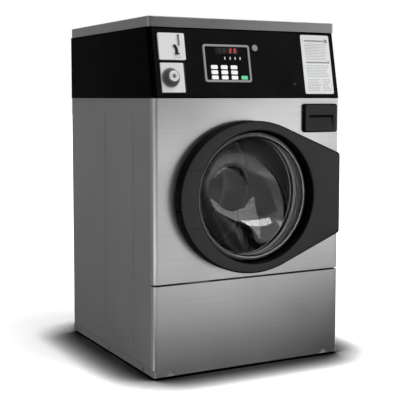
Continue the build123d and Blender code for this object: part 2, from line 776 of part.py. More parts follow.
def make_door_frame():
    """The hollow plastic door shell, open at the back, with notches for the hinge ears."""
    shell = door_slab(door_outline(0), door_back_gap, door_proud)
    shell = fillet(shell.faces().sort_by(Axis.Y)[0].edges(), door_edge)
    cavity = door_slab(door_outline(door_wall), 0, door_proud - door_wall)
    tube_end = mouth_wall_back
    cavity = cavity - door_disc(door_mouth_radius + door_wall, tube_end, door_proud)
    shell = shell - cavity
    for x, z in boss_places():
        shell = shell + rod_y(x, z, front_y - door_proud + door_wall / 2,
                              front_y - mouth_wall_back + glass_flange_thickness, door_boss_radius)
    shell = shell - door_disc(door_mouth_radius, door_back_gap - overrun, door_proud + overrun)
    notch_y = front_y - hinge_proud - knuckle_radius
    for z in hinge_ear_heights:
        shell = shell - block(-half_width, hinge_x, notch_y, front_y, z - notch_gap,
                              z + hinge_ear_thickness + notch_gap)
    for z in (axis_height - arm_post_spread, axis_height + arm_post_spread):
        shell = shell + rod_y(arm_post_x, z, front_y - door_proud + door_wall / 2,
                              front_y - arm_plate_back - arm_plate_thickness, door_boss_radius)
    return shell


def bowl_section(share_depth, share_shape, inset):
    """One round section of the slanted glass bowl."""
    depth = -mouth_wall_back + glass_flange_thickness + share_depth * (bowl_depth - inset)
    radius = bowl_mouth_radius + (bowl_end_radius - bowl_mouth_radius) * share_shape - inset
    place = Plane(origin=(0, front_y + depth, axis_height + bowl_lift * share_depth), x_dir=(1, 0, 0),
                  z_dir=(0, -1, 0))
    return place * Circle(radius)


def make_door_glass():
    """The glass bowl: a flat flange and a slanted, closed end."""
    outer = loft([bowl_section(depth, shape, 0) for depth, shape in bowl_stations_share])
    inner = loft([bowl_section(depth, shape, glass_wall) for depth, shape in bowl_stations_share])
    flange = door_disc(glass_flange_radius, mouth_wall_back - glass_flange_thickness, mouth_wall_back)
    mouth = door_disc(bowl_mouth_radius - glass_wall, mouth_wall_back - glass_flange_thickness - overrun,
                      mouth_wall_back + overrun)
    return outer - inner + (flange - mouth)


def make_glass_retainer():
    """The ring that clamps the glass flange from behind."""
    w1 = mouth_wall_back - glass_flange_thickness
    ring = ring_y(0, axis_height, front_y - w1, front_y - w1 + retainer_thickness, retainer_outer,
                  bowl_mouth_radius + door_wall)
    for x, z in boss_places():
        ring = ring + rod_y(x, z, front_y - w1 + retainer_thickness / 2,
                            front_y - w1 + retainer_thickness + small_edge, door_boss_radius / 2)
    return ring


def make_door_hardware():
    """The hinge arm with its knuckle, and the strike that enters the lock."""
    pin_y = front_y - hinge_proud
    low = hinge_ear_heights[0] + hinge_ear_thickness + seat_gap
    high = hinge_ear_heights[1] - seat_gap
    plate_y = front_y - arm_plate_back - arm_plate_thickness
    arm = rod_z(hinge_x, pin_y, low, high, knuckle_radius)
    arm = arm + block(hinge_x, arm_plate_end, plate_y, front_y - arm_plate_back, low, high)
    arm = arm + block(hinge_x - arm_plate_thickness / 2, hinge_x + arm_plate_thickness / 2, pin_y,
                      front_y - arm_plate_back, low, high)
    arm = arm - rod_z(hinge_x, pin_y, low - overrun, high + overrun, hinge_pin_radius + running_gap)
    strike = block(latch_x - strike_width / 2, latch_x + strike_width / 2, front_y - door_proud + door_wall,
                   front_y + strike_reach, axis_height - strike_height / 2, axis_height + strike_height / 2)
    hole = rod_x(latch_x - strike_width, latch_x + strike_width, front_y + strike_reach / 2, axis_height,
                 strike_hole / 2)
    return group([arm, strike - hole])


def make_hinge_bracket():
    """The fixed hinge: a plate behind the front panel, two gooseneck ears and the pin."""
    pin_y = front_y - hinge_proud
    low = hinge_ear_heights[0]
    high = hinge_ear_heights[1] + hinge_ear_thickness
    neck_end = hinge_neck_x + hinge_neck_width
    arm_half = hinge_arm_thickness / 2
    bracket = block(hinge_x, neck_end, front_y + sheet, front_y + 2 * sheet, low, high)
    for z in hinge_ear_heights:
        top = z + hinge_ear_thickness
        bracket = bracket + block(hinge_neck_x, neck_end, pin_y - arm_half, front_y + 2 * sheet, z, top)
        bracket = bracket + block(hinge_x, neck_end, pin_y - arm_half, pin_y + arm_half, z, top)
        bracket = bracket + rod_z(hinge_x, pin_y, z, top, knuckle_radius)
    return bracket + rod_z(hinge_x, pin_y, low, high, hinge_pin_radius)


# Door lock behind the front panel
lock_box_width = 44.0 * unit
lock_box_height = 84.0
lock_box_depth = 38.0


def make_door_lock():
    """The lock box behind the front panel, with a slot for the strike."""
    half = lock_box_width / 2
    box = block(latch_x - half, latch_x + half, front_y + sheet, front_y + sheet + lock_box_depth,
                axis_height - lock_box_height / 2, axis_height + lock_box_height / 2)
    return box - block(latch_x - latch_slot_width / 2, latch_x + latch_slot_width / 2, front_y,
                       front_y + strike_reach + 2 * sheet, axis_height - latch_slot_height / 2,
                       axis_height + latch_slot_height / 2)


# Gasket between the front panel and the tub: radius and depth of the outer folds
gasket_wall = 2.5
gasket_rest = 0.6
gasket_fold_radii = (226.0 * unit, 207.0 * unit, 226.0 * unit)
gasket_fold_depths = (18.0 * unit, 31.0 * unit, 44.0 * unit)
gasket_front_depth = 3.0
gasket_collar_gap = 0.1
gasket_collar_overlap = 7.5


def make_door_gasket():
    """The rubber bellows with its soft lip round the glass."""
    collar = tub_mouth + gasket_wall - seat_gap + gasket_collar_gap
    outer = [(door_hole_radius + lip_wall + gasket_rest, gasket_front_depth)]
    outer = outer + list(zip(gasket_fold_radii, gasket_fold_depths))
    outer = outer + [(collar, tub_mouth_depth), (collar, tub_mouth_depth + gasket_collar_overlap)]
    inner = [(radius + gasket_wall, depth) for radius, depth in reversed(outer)]
    return revolve_about_drum(outer + inner)


# Tub and what it carries
tub_outer = 279.0 * unit
tub_rib = 285.0 * unit
tub_inner = 275.0 * unit
tub_mouth = 212.0 * unit
tub_mouth_depth = 56.5 * unit
tub_front_depth = 70.0 * unit
tub_front_wall = 8.0
tub_back_depth = 474.0 * unit
tub_wall = 5.0
tub_rib_depths = (130.0 * unit, 250.0 * unit, 370.0 * unit, 460.0 * unit)
tub_rib_width = 8.0
tub_shaft_hole = 40.0 * unit
lug_height = axis_height + 70.0 * unit
lug_thickness = 6.0
lug_width = 36.0
damper_x = 235.0 * unit
damper_depths = cross_member_depths
damper_bracket_height = axis_height - 180.0 * unit
sump_x = 90.0 * unit
sump_depth = 300.0 * unit
sump_radius = 26.0
sump_height = axis_height - 306.0 * unit
hose_radius = 18.0
hose_wall = 3.0
inlet_elbow_x = half_width - 45.5
inlet_elbow_depth = 150.0 * unit
inlet_elbow_height = axis_height + 88.0 * unit
inlet_elbow_radius = 14.0


def make_outer_tub():
    """The tub shell with ribs, spring lugs, damper brackets and hose necks, and its front ring."""
    y0 = front_y + tub_front_depth + tub_front_wall
    y1 = front_y + tub_back_depth + tub_wall
    shell = rod_y(0, axis_height, y0, y1, tub_outer)
    for depth in tub_rib_depths:
        shell = shell + rod_y(0, axis_height, front_y + depth, front_y + depth + tub_rib_width, tub_rib)
    for side in (-1, 1):
        for depth in spring_depths:
            y = front_y + depth
            shell = shell + block(min(side * tub_inner * embed_share, side * (spring_x + spring_radius)),
                                  max(side * tub_inner * embed_share, side * (spring_x + spring_radius)),
                                  y - lug_width / 2, y + lug_width / 2, lug_height, lug_height + lug_thickness)
        for depth in damper_depths:
            y = front_y + depth
            x0 = side * damper_x
            shell = shell + block(x0 - lug_width / 2, x0 + lug_width / 2, y - lug_width / 2, y + lug_width / 2,
                                  damper_bracket_height, axis_height - sqrt(tub_inner ** 2 - damper_x ** 2))
    sump_y = front_y + sump_depth
    sump_root = axis_height - tub_inner * embed_share
    shell = shell + rod_z(sump_x, sump_y, sump_height, sump_root, sump_radius)
    neck_z = inlet_elbow_height - inlet_elbow_radius * 2
    neck_y = front_y + inlet_elbow_depth
    shell = shell + rod_x(tub_inner * embed_share, inlet_elbow_x + inlet_elbow_radius, neck_y, neck_z,
                          inlet_elbow_radius)
    shell = shell + rod_z(inlet_elbow_x, neck_y, neck_z, inlet_elbow_height, inlet_elbow_radius)
    shell = shell - rod_y(0, axis_height, y0 - overrun, y1 - tub_wall, tub_inner)
    shell = shell - rod_y(0, axis_height, y1 - tub_wall - overrun, y1 + overrun, tub_shaft_hole)
    shell = shell - rod_z(sump_x, sump_y, sump_height - overrun, sump_root, sump_radius - hose_wall)
    front = ring_y(0, axis_height, front_y + tub_front_depth, y0, tub_rib, tub_mouth)
    front = front + ring_y(0, axis_height, front_y + tub_mouth_depth, front_y + tub_front_depth,
                           tub_mouth + gasket_wall - seat_gap, tub_mouth - seat_gap)
    return group([shell, front])


# Bearing housing, shaft, spider and drum
shaft_radius = 20.0
bearing_outer = 42.0
bearing_width = 18.0
housing_hub_radius = 55.0
housing_disc_radius = 190.0 * unit
housing_disc_thickness = 8.0
housing_length = 80.0 * unit
housing_rib_count = 6
housing_rib_thickness = 8.0
drum_radius = 262.0 * unit
drum_wall = 2.0
drum_front_depth = 92.0 * unit
drum_length = 360.0 * unit
drum_mouth = 205.0 * unit
drum_mouth_roll = 6.0
baffle_count = 3
baffle_height = 58.0 * unit
baffle_base = 80.0 * unit
baffle_tip = 30.0 * unit
baffle_margin = 24.0 * unit
baffle_wall = 2.5
spider_thickness = 14.0
spider_hub = 46.0
spider_arm_width = 44.0 * unit
drum_pulley_radius = 150.0 * unit
pulley_standoff = 13.0 * unit
drum_pulley_depth = tub_back_depth + tub_wall + housing_length + pulley_standoff
pulley_width = 24.0
pulley_rim = 10.0
pulley_hub = 34.0
pulley_arm_width = 28.0
pulley_arm_count = 5
belt_thickness = 4.0
belt_gap = 0.3


def make_bearing_housing():
    """The cast housing behind the tub with its two bearings."""
    y0 = front_y + tub_back_depth + tub_wall
    y1 = y0 + housing_length
    body = rod_y(0, axis_height, y0, y0 + housing_disc_thickness, housing_disc_radius)
    body = body + rod_y(0, axis_height, y0, y1, housing_hub_radius)
    for step in range(housing_rib_count):
        rib = block(0, housing_disc_radius, y0, y0 + housing_length / 2, -housing_rib_thickness / 2,
                    housing_rib_thickness / 2)
        body = body + Pos(0, 0, axis_height) * Rot(0, step * 360 / housing_rib_count, 0) * rib
    body = body - rod_y(0, axis_height, y0 - overrun, y1 + overrun, bearing_outer)
    inner = shaft_radius + running_gap
    front_bearing = ring_y(0, axis_height, y0, y0 + bearing_width, bearing_outer, inner)
    rear_bearing = ring_y(0, axis_height, y1 - bearing_width, y1, bearing_outer, inner)
    return group([body, front_bearing, rear_bearing])


def baffle_outline(inset):
    """A lifter's cross-section, standing on the drum's inner wall."""
    inner = drum_radius - drum_wall
    foot = inner - sqrt(inner ** 2 - (baffle_base / 2) ** 2)
    base = inner - foot - seat_gap
    crown = inner - baffle_height + inset
    points = [(-baffle_base / 2 + inset, base), (-baffle_tip / 2 + inset / 2, crown),
              (baffle_tip / 2 - inset / 2, crown), (baffle_base / 2 - inset, base)]
    return make_face(Polyline(points, close=True))


def baffle():
    """One hollow lifter that tumbles the load."""
    length = drum_length - 2 * baffle_margin
    y1 = front_y + drum_front_depth + baffle_margin + length
    place = Plane(origin=(0, y1, axis_height), x_dir=(1, 0, 0), z_dir=(0, -1, 0))
    inside = Plane(origin=(0, y1 - baffle_wall, axis_height), x_dir=(1, 0, 0), z_dir=(0, -1, 0))
    shell = extrude(place * baffle_outline(0), length)
    return shell - extrude(inside * baffle_outline(baffle_wall), length - 2 * baffle_wall)


def make_drum_basket():
    """The drum with its rolled mouth, and three lifters."""
    y0 = front_y + drum_front_depth
    y1 = y0 + drum_length
    drum = rod_y(0, axis_height, y0, y1, drum_radius)
    drum = drum - rod_y(0, axis_height, y0 + drum_wall, y1 - drum_wall, drum_radius - drum_wall)
    drum = drum - rod_y(0, axis_height, y0 - overrun, y0 + drum_wall + overrun, drum_mouth)
    drum = drum + ring_y(0, axis_height, y0 - drum_mouth_roll, y0 + drum_mouth_roll, drum_mouth + drum_wall,
                         drum_mouth)
    pieces = [drum]
    for step in range(baffle_count):
        turn = Pos(0, 0, axis_height) * Rot(0, step * 360 / baffle_count, 0) * Pos(0, 0, -axis_height)
        pieces.append(turn * baffle())
    return group(pieces)


def make_drum_spider():
    """The three-armed casting on the back of the drum, with the drum shaft."""
    y0 = front_y + drum_front_depth + drum_length
    y1 = y0 + spider_thickness
    spider = rod_y(0, axis_height, y0, y1, spider_hub)
    for step in range(baffle_count):
        arm = block(0, drum_radius - drum_wall, y0, y1, -spider_arm_width / 2, spider_arm_width / 2)
        spider = spider + Pos(0, 0, axis_height) * Rot(0, step * 360 / baffle_count, 0) * arm
    shaft_end = front_y + drum_pulley_depth + pulley_width + spider_thickness
    return spider + rod_y(0, axis_height, y0, shaft_end, shaft_radius)


def make_drum_pulley():
    """The large spoked belt pulley."""
    y0 = front_y + drum_pulley_depth
    y1 = y0 + pulley_width
    pulley = ring_y(0, axis_height, y0, y1, drum_pulley_radius, drum_pulley_radius - pulley_rim)
    pulley = pulley + rod_y(0, axis_height, y0, y1, pulley_hub)
    for step in range(pulley_arm_count):
        arm = block(0, drum_pulley_radius - pulley_rim / 2, y0 + pulley_rim / 2, y1 - pulley_rim / 2,
                    -pulley_arm_width / 2, pulley_arm_width / 2)
        pulley = pulley + Pos(0, 0, axis_height) * Rot(0, step * 360 / pulley_arm_count, 0) * arm
    return pulley - rod_y(0, axis_height, y0 - overrun, y1 + overrun, shaft_radius)


# Motor, its pulley and the belt
motor_x = -120.0 * unit
motor_height = axis_height - 367.0 * unit
motor_radius = 66.0 * unit
motor_depth_span = (330.0 * unit, 540.0 * unit)
motor_shaft_radius = 9.0
motor_pulley_radius = 24.0 * unit
motor_lug_width = 16.0


def make_motor():
    """The motor can and the two straps that hang it from the tub."""
    y0 = front_y + motor_depth_span[0]
    y1 = front_y + motor_depth_span[1]
    motor = rod_y(motor_x, motor_height, y0, y1, motor_radius)
    tub_low = axis_height - sqrt(tub_outer ** 2 - motor_x ** 2)
    for depth in (tub_rib_depths[2] + tub_rib_width, tub_rib_depths[3] - motor_lug_width):
        y = front_y + depth
        motor = motor + block(motor_x - motor_lug_width, motor_x + motor_lug_width, y + small_edge,
                              y + motor_lug_width - small_edge, motor_height, tub_low - motor_lug_width / 2)
    bore = motor_shaft_radius + running_gap
    return motor - rod_y(motor_x, motor_height, (y0 + y1) / 2, y1 + overrun, bore)


def make_motor_pulley():
    """The motor shaft with its small pulley."""
    y0 = front_y + (motor_depth_span[0] + motor_depth_span[1]) / 2 + small_edge
    y1 = front_y + drum_pulley_depth
    shaft = rod_y(motor_x, motor_height, y0, y1 + pulley_width, motor_shaft_radius)
    return shaft + rod_y(motor_x, motor_height, y1, y1 + pulley_width, motor_pulley_radius)


def belt_outline(big, small):
    """Two discs and the band between their outer tangents, in X and Z."""
    dx = motor_x
    dz = motor_height - axis_height
    span = hypot(dx, dz)
    heading = atan2(dz, dx)
    turn = acos((big - small) / span)
    corners = []
    for sign in (1, -1):
        corners.append((big * cos(heading + sign * turn), big * sin(heading + sign * turn)))
        corners.append((dx + small * cos(heading + sign * turn), dz + small * sin(heading + sign * turn)))
    band = make_face(Polyline([corners[0], corners[1], corners[3], corners[2]], close=True))
    return Circle(big) + Pos(dx, dz) * Circle(small) + band


def make_drive_belt():
    """The belt loop from the motor pulley to the drum pulley."""
    inner = belt_outline(drum_pulley_radius + belt_gap, motor_pulley_radius + belt_gap)
    outer = belt_outline(drum_pulley_radius + belt_gap + belt_thickness,
                         motor_pulley_radius + belt_gap + belt_thickness)
    y1 = front_y + drum_pulley_depth + pulley_width - pulley_rim / 4
    place = Plane(origin=(0, y1, axis_height), x_dir=(1, 0, 0), z_dir=(0, -1, 0))
    return extrude(place * (outer - inner), pulley_width - pulley_rim / 2)


# Counterweights
weight_top_half = 130.0 * unit
weight_top_height = axis_height + 353.0 * unit
weight_depth_span = (150.0 * unit, 360.0 * unit)
weight_ring_inner = 232.0 * unit
weight_ring_outer = 276.0 * unit
weight_ring_depth = 34.0 * unit


def make_counterweights():
    """A saddle block on the tub and a half ring under its mouth."""
    y0 = front_y + weight_depth_span[0]
    y1 = front_y + weight_depth_span[1]
    saddle = block(-weight_top_half, weight_top_half, y0, y1, axis_height + tub_inner * embed_share,
                   weight_top_height)
    saddle = saddle - rod_y(0, axis_height, y0 - overrun, y1 + overrun, tub_rib)
    half_ring = ring_y(0, axis_height, front_y + weight_ring_depth, front_y + tub_front_depth,
                       weight_ring_outer, weight_ring_inner)
    half_ring = half_ring - block(-weight_ring_outer - overrun, weight_ring_outer + overrun, front_y,
                                  front_y + tub_back_depth, axis_height - lock_box_height,
                                  axis_height + weight_ring_outer + overrun)
    return group([saddle, half_ring])


# Suspension
damper_rod_radius = 6.0
damper_body_radius = 15.0
damper_body_top = axis_height - 322.0 * unit
damper_rod_low = axis_height - 432.0 * unit
damper_bore_low = 60.0


def make_damper_cylinders():
    """Four damper bodies that stand on the base frame."""
    bodies = []
    for x in (-damper_x, damper_x):
        for depth in damper_depths:
            y = front_y + depth
            body = rod_z(x, y, rail_top, damper_body_top, damper_body_radius)
            bore = rod_z(x, y, damper_bore_low, damper_body_top + overrun, damper_rod_radius + running_gap)
            bodies.append(body - bore)
    return group(bodies)


def make_damper_rods():
    """Four damper rods that hang from the tub."""
    rods = []
    for x in (-damper_x, damper_x):
        for depth in damper_depths:
            y = front_y + depth
            rods.append(rod_z(x, y, damper_rod_low, damper_bracket_height, damper_rod_radius))
    return group(rods)


def make_suspension_springs():
    """Four suspension springs with their end hooks, as closed sleeves."""
    springs = []
    for x in (-spring_x, spring_x):
        for depth in spring_depths:
            y = front_y + depth
            low = lug_height + lug_thickness
            body_low = low + spring_radius
            body_high = hanger_height - spring_radius
            sleeve = rod_z(x, y, body_low, body_high, spring_radius)
            hooks = rod_z(x, y, low, hanger_height, spring_eye_radius)
            springs.append(sleeve + hooks)
    return group(springs)


# Water: dispenser, hoses, valves and pump
housing_back_depth = 225.0 * unit
housing_wall = 3.0
tray_gap = 2.0
tray_wall = 2.0
tray_length = 200.0 * unit
tray_front = 13.0
tray_height = housing_top - housing_bottom - 18.0
tray_divider_shares = (0.36, 0.72)
drawer_front_back = 0.3
drawer_front_thickness = 12.0
drawer_corner = 9.0
grip_half = 50.0
grip_top = 14.0
grip_bottom = -36.0
grip_depth = 8.0
grip_arch = 9.0
valve_length = 58.0
pump_axis_height = 74.0
pump_radius = 42.0
pump_neck_top = 122.0
pump_depth_span = (300.0 * unit, 380.0 * unit)


def make_drawer_front():
    """The dark drawer front with an arched finger recess."""
    y1 = front_y - drawer_front_back
    y0 = y1 - drawer_front_thickness
    half_u = drawer_front_width / 2
    half_v = drawer_front_height / 2
    outline = RectangleRounded(drawer_front_width, drawer_front_height, drawer_corner)
    place = Plane(origin=(drawer_x, y1, drawer_z), x_dir=(1, 0, 0), z_dir=(0, -1, 0))
    front = extrude(place * outline, drawer_front_thickness)
    front = chamfer(front.faces().sort_by(Axis.Y)[0].edges(), 2 * small_edge)
    arch = make_face(Curve() + [
        Line((-grip_half, grip_bottom), (grip_half, grip_bottom)),
        Line((grip_half, grip_bottom), (grip_half, grip_top - grip_arch)),
        ThreePointArc((grip_half, grip_top - grip_arch), (0, grip_top), (-grip_half, grip_top - grip_arch)),
        Line((-grip_half, grip_top - grip_arch), (-grip_half, grip_bottom))])
    face = Plane(origin=(drawer_x, y0 - overrun, drawer_z), x_dir=(1, 0, 0), z_dir=(0, -1, 0))
    recess = extrude(face * arch, -(grip_depth + overrun))
    wedge_points = [(y0 - overrun, drawer_z + grip_bottom), (y0, drawer_z + grip_bottom),
                    (y0 + grip_depth, drawer_z + grip_top), (y0 + grip_depth, drawer_z + half_v),
                    (y0 - overrun, drawer_z + half_v)]
    slope_place = Plane(origin=(drawer_x - half_u, 0, 0), x_dir=(0, 1, 0), z_dir=(1, 0, 0))
    slope = extrude(slope_place * make_face(Polyline(wedge_points, close=True)), drawer_front_width)
    return front - (recess & slope)


def tray_box():
    """Inner width limits and floor of the drawer tray."""
    x0 = drawer_x - housing_width / 2 + housing_wall + tray_gap
    x1 = drawer_x + housing_width / 2 - housing_wall - tray_gap
    z0 = housing_bottom + housing_wall + seat_gap
    return x0, x1, z0


def make_drawer_tray():
    """The open detergent tray with its compartments."""
    x0, x1, z0 = tray_box()
    y0 = front_y - drawer_front_back
    y1 = y0 + tray_length
    tray = block(x0, x1, y0, y1, z0, z0 + tray_height)
    cuts = [0.0] + list(tray_divider_shares) + [1.0]
    span = x1 - x0 - tray_wall
    for near, far in zip(cuts[:-1], cuts[1:]):
        tray = tray - block(x0 + near * span + tray_wall, x0 + far * span, y0 + tray_front, y1 - tray_wall,
                            z0 + tray_wall, z0 + tray_height + overrun)
    return tray


def make_dispenser_housing():
    """The box that the drawer runs in, with an outlet neck below."""
    y0 = front_y + sheet
    y1 = front_y + housing_back_depth
    x0 = drawer_x - housing_width / 2
    x1 = drawer_x + housing_width / 2
    box = block(x0, x1, y0, y1, housing_bottom, housing_top)
    neck_y = front_y + inlet_elbow_depth
    box = box - block(x0 + housing_wall, x1 - housing_wall, y0 - overrun, y1 - housing_wall,
                      housing_bottom + housing_wall, housing_top - housing_wall)
    return box - rod_z(inlet_elbow_x, neck_y, housing_bottom - overrun, housing_bottom + housing_wall
                       + overrun, inlet_elbow_radius - hose_wall)


def make_tub_hoses():
    """The dispenser hose into the tub and the sump hose down to the pump."""
    neck_y = front_y + inlet_elbow_depth
    fill = rod_z(inlet_elbow_x, neck_y, inlet_elbow_height, housing_bottom, inlet_elbow_radius)
    fill = fill - rod_z(inlet_elbow_x, neck_y, inlet_elbow_height - overrun, housing_bottom + overrun,
                        inlet_elbow_radius - hose_wall)
    y = front_y + sump_depth
    drain = rod_z(sump_x, y, pump_neck_top, sump_height, hose_radius)
    drain = drain - rod_z(sump_x, y, pump_neck_top - overrun, sump_height + overrun, hose_radius - hose_wall)
    return group([fill, drain])


def make_inlet_valves():
    """Two water valves with threaded inlets through the rear panel, and their hoses."""
    pieces = []
    y1 = rear_y - sheet
    hose_start = front_y + housing_back_depth
    for x in inlet_xs:
        body = rod_y(x, inlet_height, y1 - valve_length, y1, inlet_body_radius)
        neck = rod_y(x, inlet_height, y1, rear_y + neck_reach, spigot_radius - neck_step)
        spigot = rod_y(x, inlet_height, rear_y + neck_reach, rear_y + rear_reach, spigot_radius)
        coil = block(x - inlet_body_radius / 2, x + inlet_body_radius / 2, y1 - valve_length,
                     y1 - valve_length / 2, inlet_height - inlet_body_radius, inlet_height
                     + 2 * inlet_body_radius - inlet_body_radius / 2)
        valve = body + neck + spigot + coil
        valve = valve - rod_y(x, inlet_height, rear_y, rear_y + rear_reach + overrun,
                              spigot_radius - spigot_wall)
        hose = ring_y(x, inlet_height, hose_start, y1 - valve_length, fill_hose_radius,
                      fill_hose_radius - spigot_wall)
        pieces.extend([valve, hose])
    return group(pieces)


def make_drain_pump():
    """The drain pump on the base, and the pipe to its rear outlet."""
    y0 = front_y + pump_depth_span[0] - pump_radius
    y1 = front_y + pump_depth_span[1]
    body = rod_y(sump_x, pump_axis_height, y0, y1, pump_radius)
    body = body + block(sump_x - pump_radius, sump_x + pump_radius, y0, y1, rail_top,
                        pump_axis_height - pump_radius / 2)
    body = body + rod_z(sump_x, front_y + sump_depth, pump_axis_height, pump_neck_top, hose_radius)
    bore = drain_radius - spigot_wall
    pipe = ring_y(drain_x, drain_height, y1, rear_y + neck_reach, drain_radius - neck_step, bore)
    pipe = pipe + ring_y(drain_x, drain_height, rear_y + neck_reach, rear_y + rear_reach, drain_radius, bore)
    return group([body, pipe])


# Cable gland and screws
gland_flange = 16.0
gland_length = 18.0
cable_hole = 4.5
screw_radius = 4.5
screw_rise = 1.2
rail_screw_height = 18.0
rail_screw_depths = (82.0 * depth_unit, 360.0 * depth_unit, 640.0 * depth_unit, 670.0 * depth_unit)
fascia_screw_u = cabinet_width - 176.0
fascia_screw_v = 46.0
cover_screw_inset = 11.0


def make_cable_gland():
    """The strain relief gland where the mains lead goes in."""
    y0 = rear_y - gland_length
    gland = rod_y(gland_x, gland_height, y0, rear_y + gland_length / 2, gland_radius - hole_gap)
    gland = gland + rod_y(gland_x, gland_height, rear_y, rear_y + gland_length / 3, gland_flange)
    return gland - rod_y(gland_x, gland_height, y0 - overrun, rear_y + gland_length + overrun, cable_hole)


def make_panel_screws():
    """The screw heads that show on the rails, the fascia and the rear cover."""
    heads = [fascia_rod(fascia_screw_u, fascia_screw_v, fascia_thickness, fascia_thickness + screw_rise,
                        screw_radius)]
    for depth in rail_screw_depths:
        y = front_y + depth
        heads.append(rod_x(-half_width - screw_rise, -half_width, y, rail_screw_height, screw_radius))
        heads.append(rod_x(half_width, half_width + screw_rise, y, rail_screw_height, screw_radius))
    reach = access_cover_size / 2 - cover_screw_inset * 2
    face_y = rear_y + access_cover_rise
    for x in (-reach, reach):
        for z in (-reach, 0, reach):
            heads.append(rod_y(x, axis_height + z, face_y, face_y + screw_rise, screw_radius))
    return group(heads)


def make_parts():
    """Every node of the machine by name."""
    parts = {
        "base_frame": make_base_frame(),
        "left_side_panel": make_left_side_panel(),
        "right_side_panel": mirror_x(make_left_side_panel()),
        "rear_panel": make_rear_panel(),
        "rear_access_cover": make_rear_access_cover(),
        "front_panel": make_front_panel(),
        "lower_front_panel": make_lower_front_panel(),
        "top_panel": make_top_panel(),
        "control_housing": make_control_housing(),
        "control_fascia": make_control_fascia(),
        "display_bezel": make_display_bezel(),
        "panel_lenses": make_panel_lenses(),
        "instruction_plate": make_instruction_plate(),
        "control_board": make_control_board(),
        "coin_slot_plate": make_coin_slot_plate(),
        "coin_mechanism": make_coin_mechanism(),
        "coin_return_lever": make_coin_return_lever(),
        "coin_box": make_coin_box(),
        "vault_lock": make_vault_lock(),
        "panel_screws": make_panel_screws(),
        "cable_gland": make_cable_gland(),
        "hinge_bracket": make_hinge_bracket(),
        "door_lock": make_door_lock(),
        "door_frame": make_door_frame(),
        "door_glass": make_door_glass(),
        "glass_retainer": make_glass_retainer(),
        "door_hardware": make_door_hardware(),
        "door_gasket": make_door_gasket(),
        "outer_tub": make_outer_tub(),
        "bearing_housing": make_bearing_housing(),
        "counterweights": make_counterweights(),
        "motor": make_motor(),
        "motor_pulley": make_motor_pulley(),
        "drive_belt": make_drive_belt(),
        "drum_basket": make_drum_basket(),
        "drum_spider": make_drum_spider(),
        "drum_pulley": make_drum_pulley(),
        "damper_cylinders": make_damper_cylinders(),
        "damper_rods": make_damper_rods(),
        "suspension_springs": make_suspension_springs(),
        "drawer_front": make_drawer_front(),
        "drawer_tray": make_drawer_tray(),
        "dispenser_housing": make_dispenser_housing(),
        "tub_hoses": make_tub_hoses(),
        "inlet_valves": make_inlet_valves(),
        "drain_pump": make_drain_pump(),
    }
    for number, (x, y) in enumerate(foot_places(), start=1):
        parts[f"levelling_foot_{number}"] = make_foot(x, y)
    places = key_places()
    for number, (u, v) in enumerate(places[:-1], start=1):
        parts[f"programme_key_{number}"] = make_key(u, v)
    parts["start_key"] = make_key(places[-1][0], places[-1][1])
    return parts


def main():
    """Writes one file per node."""
    os.makedirs("parts", exist_ok=True)
    for name, shape in make_parts().items():
        export_step(shape, f"parts/{name}.step")


main()
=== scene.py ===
# %% [markdown]
# # A commercial washing machine, dressed for its picture
# The machine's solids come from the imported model: every panel, hinge, drum and key is already there, in
# metres, with the front facing -Y and the floor at Z = 0. This notebook gives each of them its finish, and
# builds the pieces that a solid modeller makes only roughly: the perforated drum, the coil springs, the
# folded rubber gasket, the glass bowl, the lit display and the lines printed on the instruction plate.

import json
from math import acos, asin, atan2, cos, hypot, pi, radians, sin, sqrt, tan

import bmesh
import bpy
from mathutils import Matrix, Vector


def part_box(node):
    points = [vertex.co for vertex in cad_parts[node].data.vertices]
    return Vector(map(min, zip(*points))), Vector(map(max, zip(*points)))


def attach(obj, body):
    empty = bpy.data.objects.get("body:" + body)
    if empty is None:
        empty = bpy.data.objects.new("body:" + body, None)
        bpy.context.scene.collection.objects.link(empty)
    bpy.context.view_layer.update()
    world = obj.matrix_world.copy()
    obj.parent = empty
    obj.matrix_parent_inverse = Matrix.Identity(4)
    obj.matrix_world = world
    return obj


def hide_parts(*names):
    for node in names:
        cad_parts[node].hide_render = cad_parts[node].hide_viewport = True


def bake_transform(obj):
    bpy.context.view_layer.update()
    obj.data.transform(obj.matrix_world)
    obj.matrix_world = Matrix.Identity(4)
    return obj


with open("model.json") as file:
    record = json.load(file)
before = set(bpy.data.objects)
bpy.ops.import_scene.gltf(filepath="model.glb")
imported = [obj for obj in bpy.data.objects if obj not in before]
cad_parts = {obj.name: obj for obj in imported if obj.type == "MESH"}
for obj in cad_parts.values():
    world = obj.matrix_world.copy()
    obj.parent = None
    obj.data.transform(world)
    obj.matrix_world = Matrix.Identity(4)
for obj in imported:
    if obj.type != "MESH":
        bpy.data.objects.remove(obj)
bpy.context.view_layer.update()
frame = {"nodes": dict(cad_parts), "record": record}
nodes = frame["nodes"]

# %% [markdown]
# ## The places that the pieces below share
# The sizes are read from the frame, so a piece follows its solid. A few depths are counted from the flat
# front panel, as a maker of the machine would count them.

# %% Shared places
MM = 0.001
front_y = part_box("lower_front_panel")[0].y
half_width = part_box("front_panel")[1].x
hood_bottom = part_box("front_panel")[1].z
hood_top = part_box("control_housing")[1].z
drum_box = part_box("drum_basket")
axis_z = (drum_box[0].z + drum_box[1].z) / 2
drum_radius = (drum_box[1].x - drum_box[0].x) / 2
print("front", front_y, "axis height", axis_z, "drum radius", drum_radius)

# %% [markdown]
# ## Nodes, meshes and sheets
# Every light, floor, card and finish is a small tree of nodes, so a few short functions add nodes and join
# them. A piece is a list of corners and faces, as a sheet-metal worker would mark them out. One helper
# turns such a list into a mesh and makes all its faces look outwards, so that light falls on the right
# side, and another puts an object in the scene.

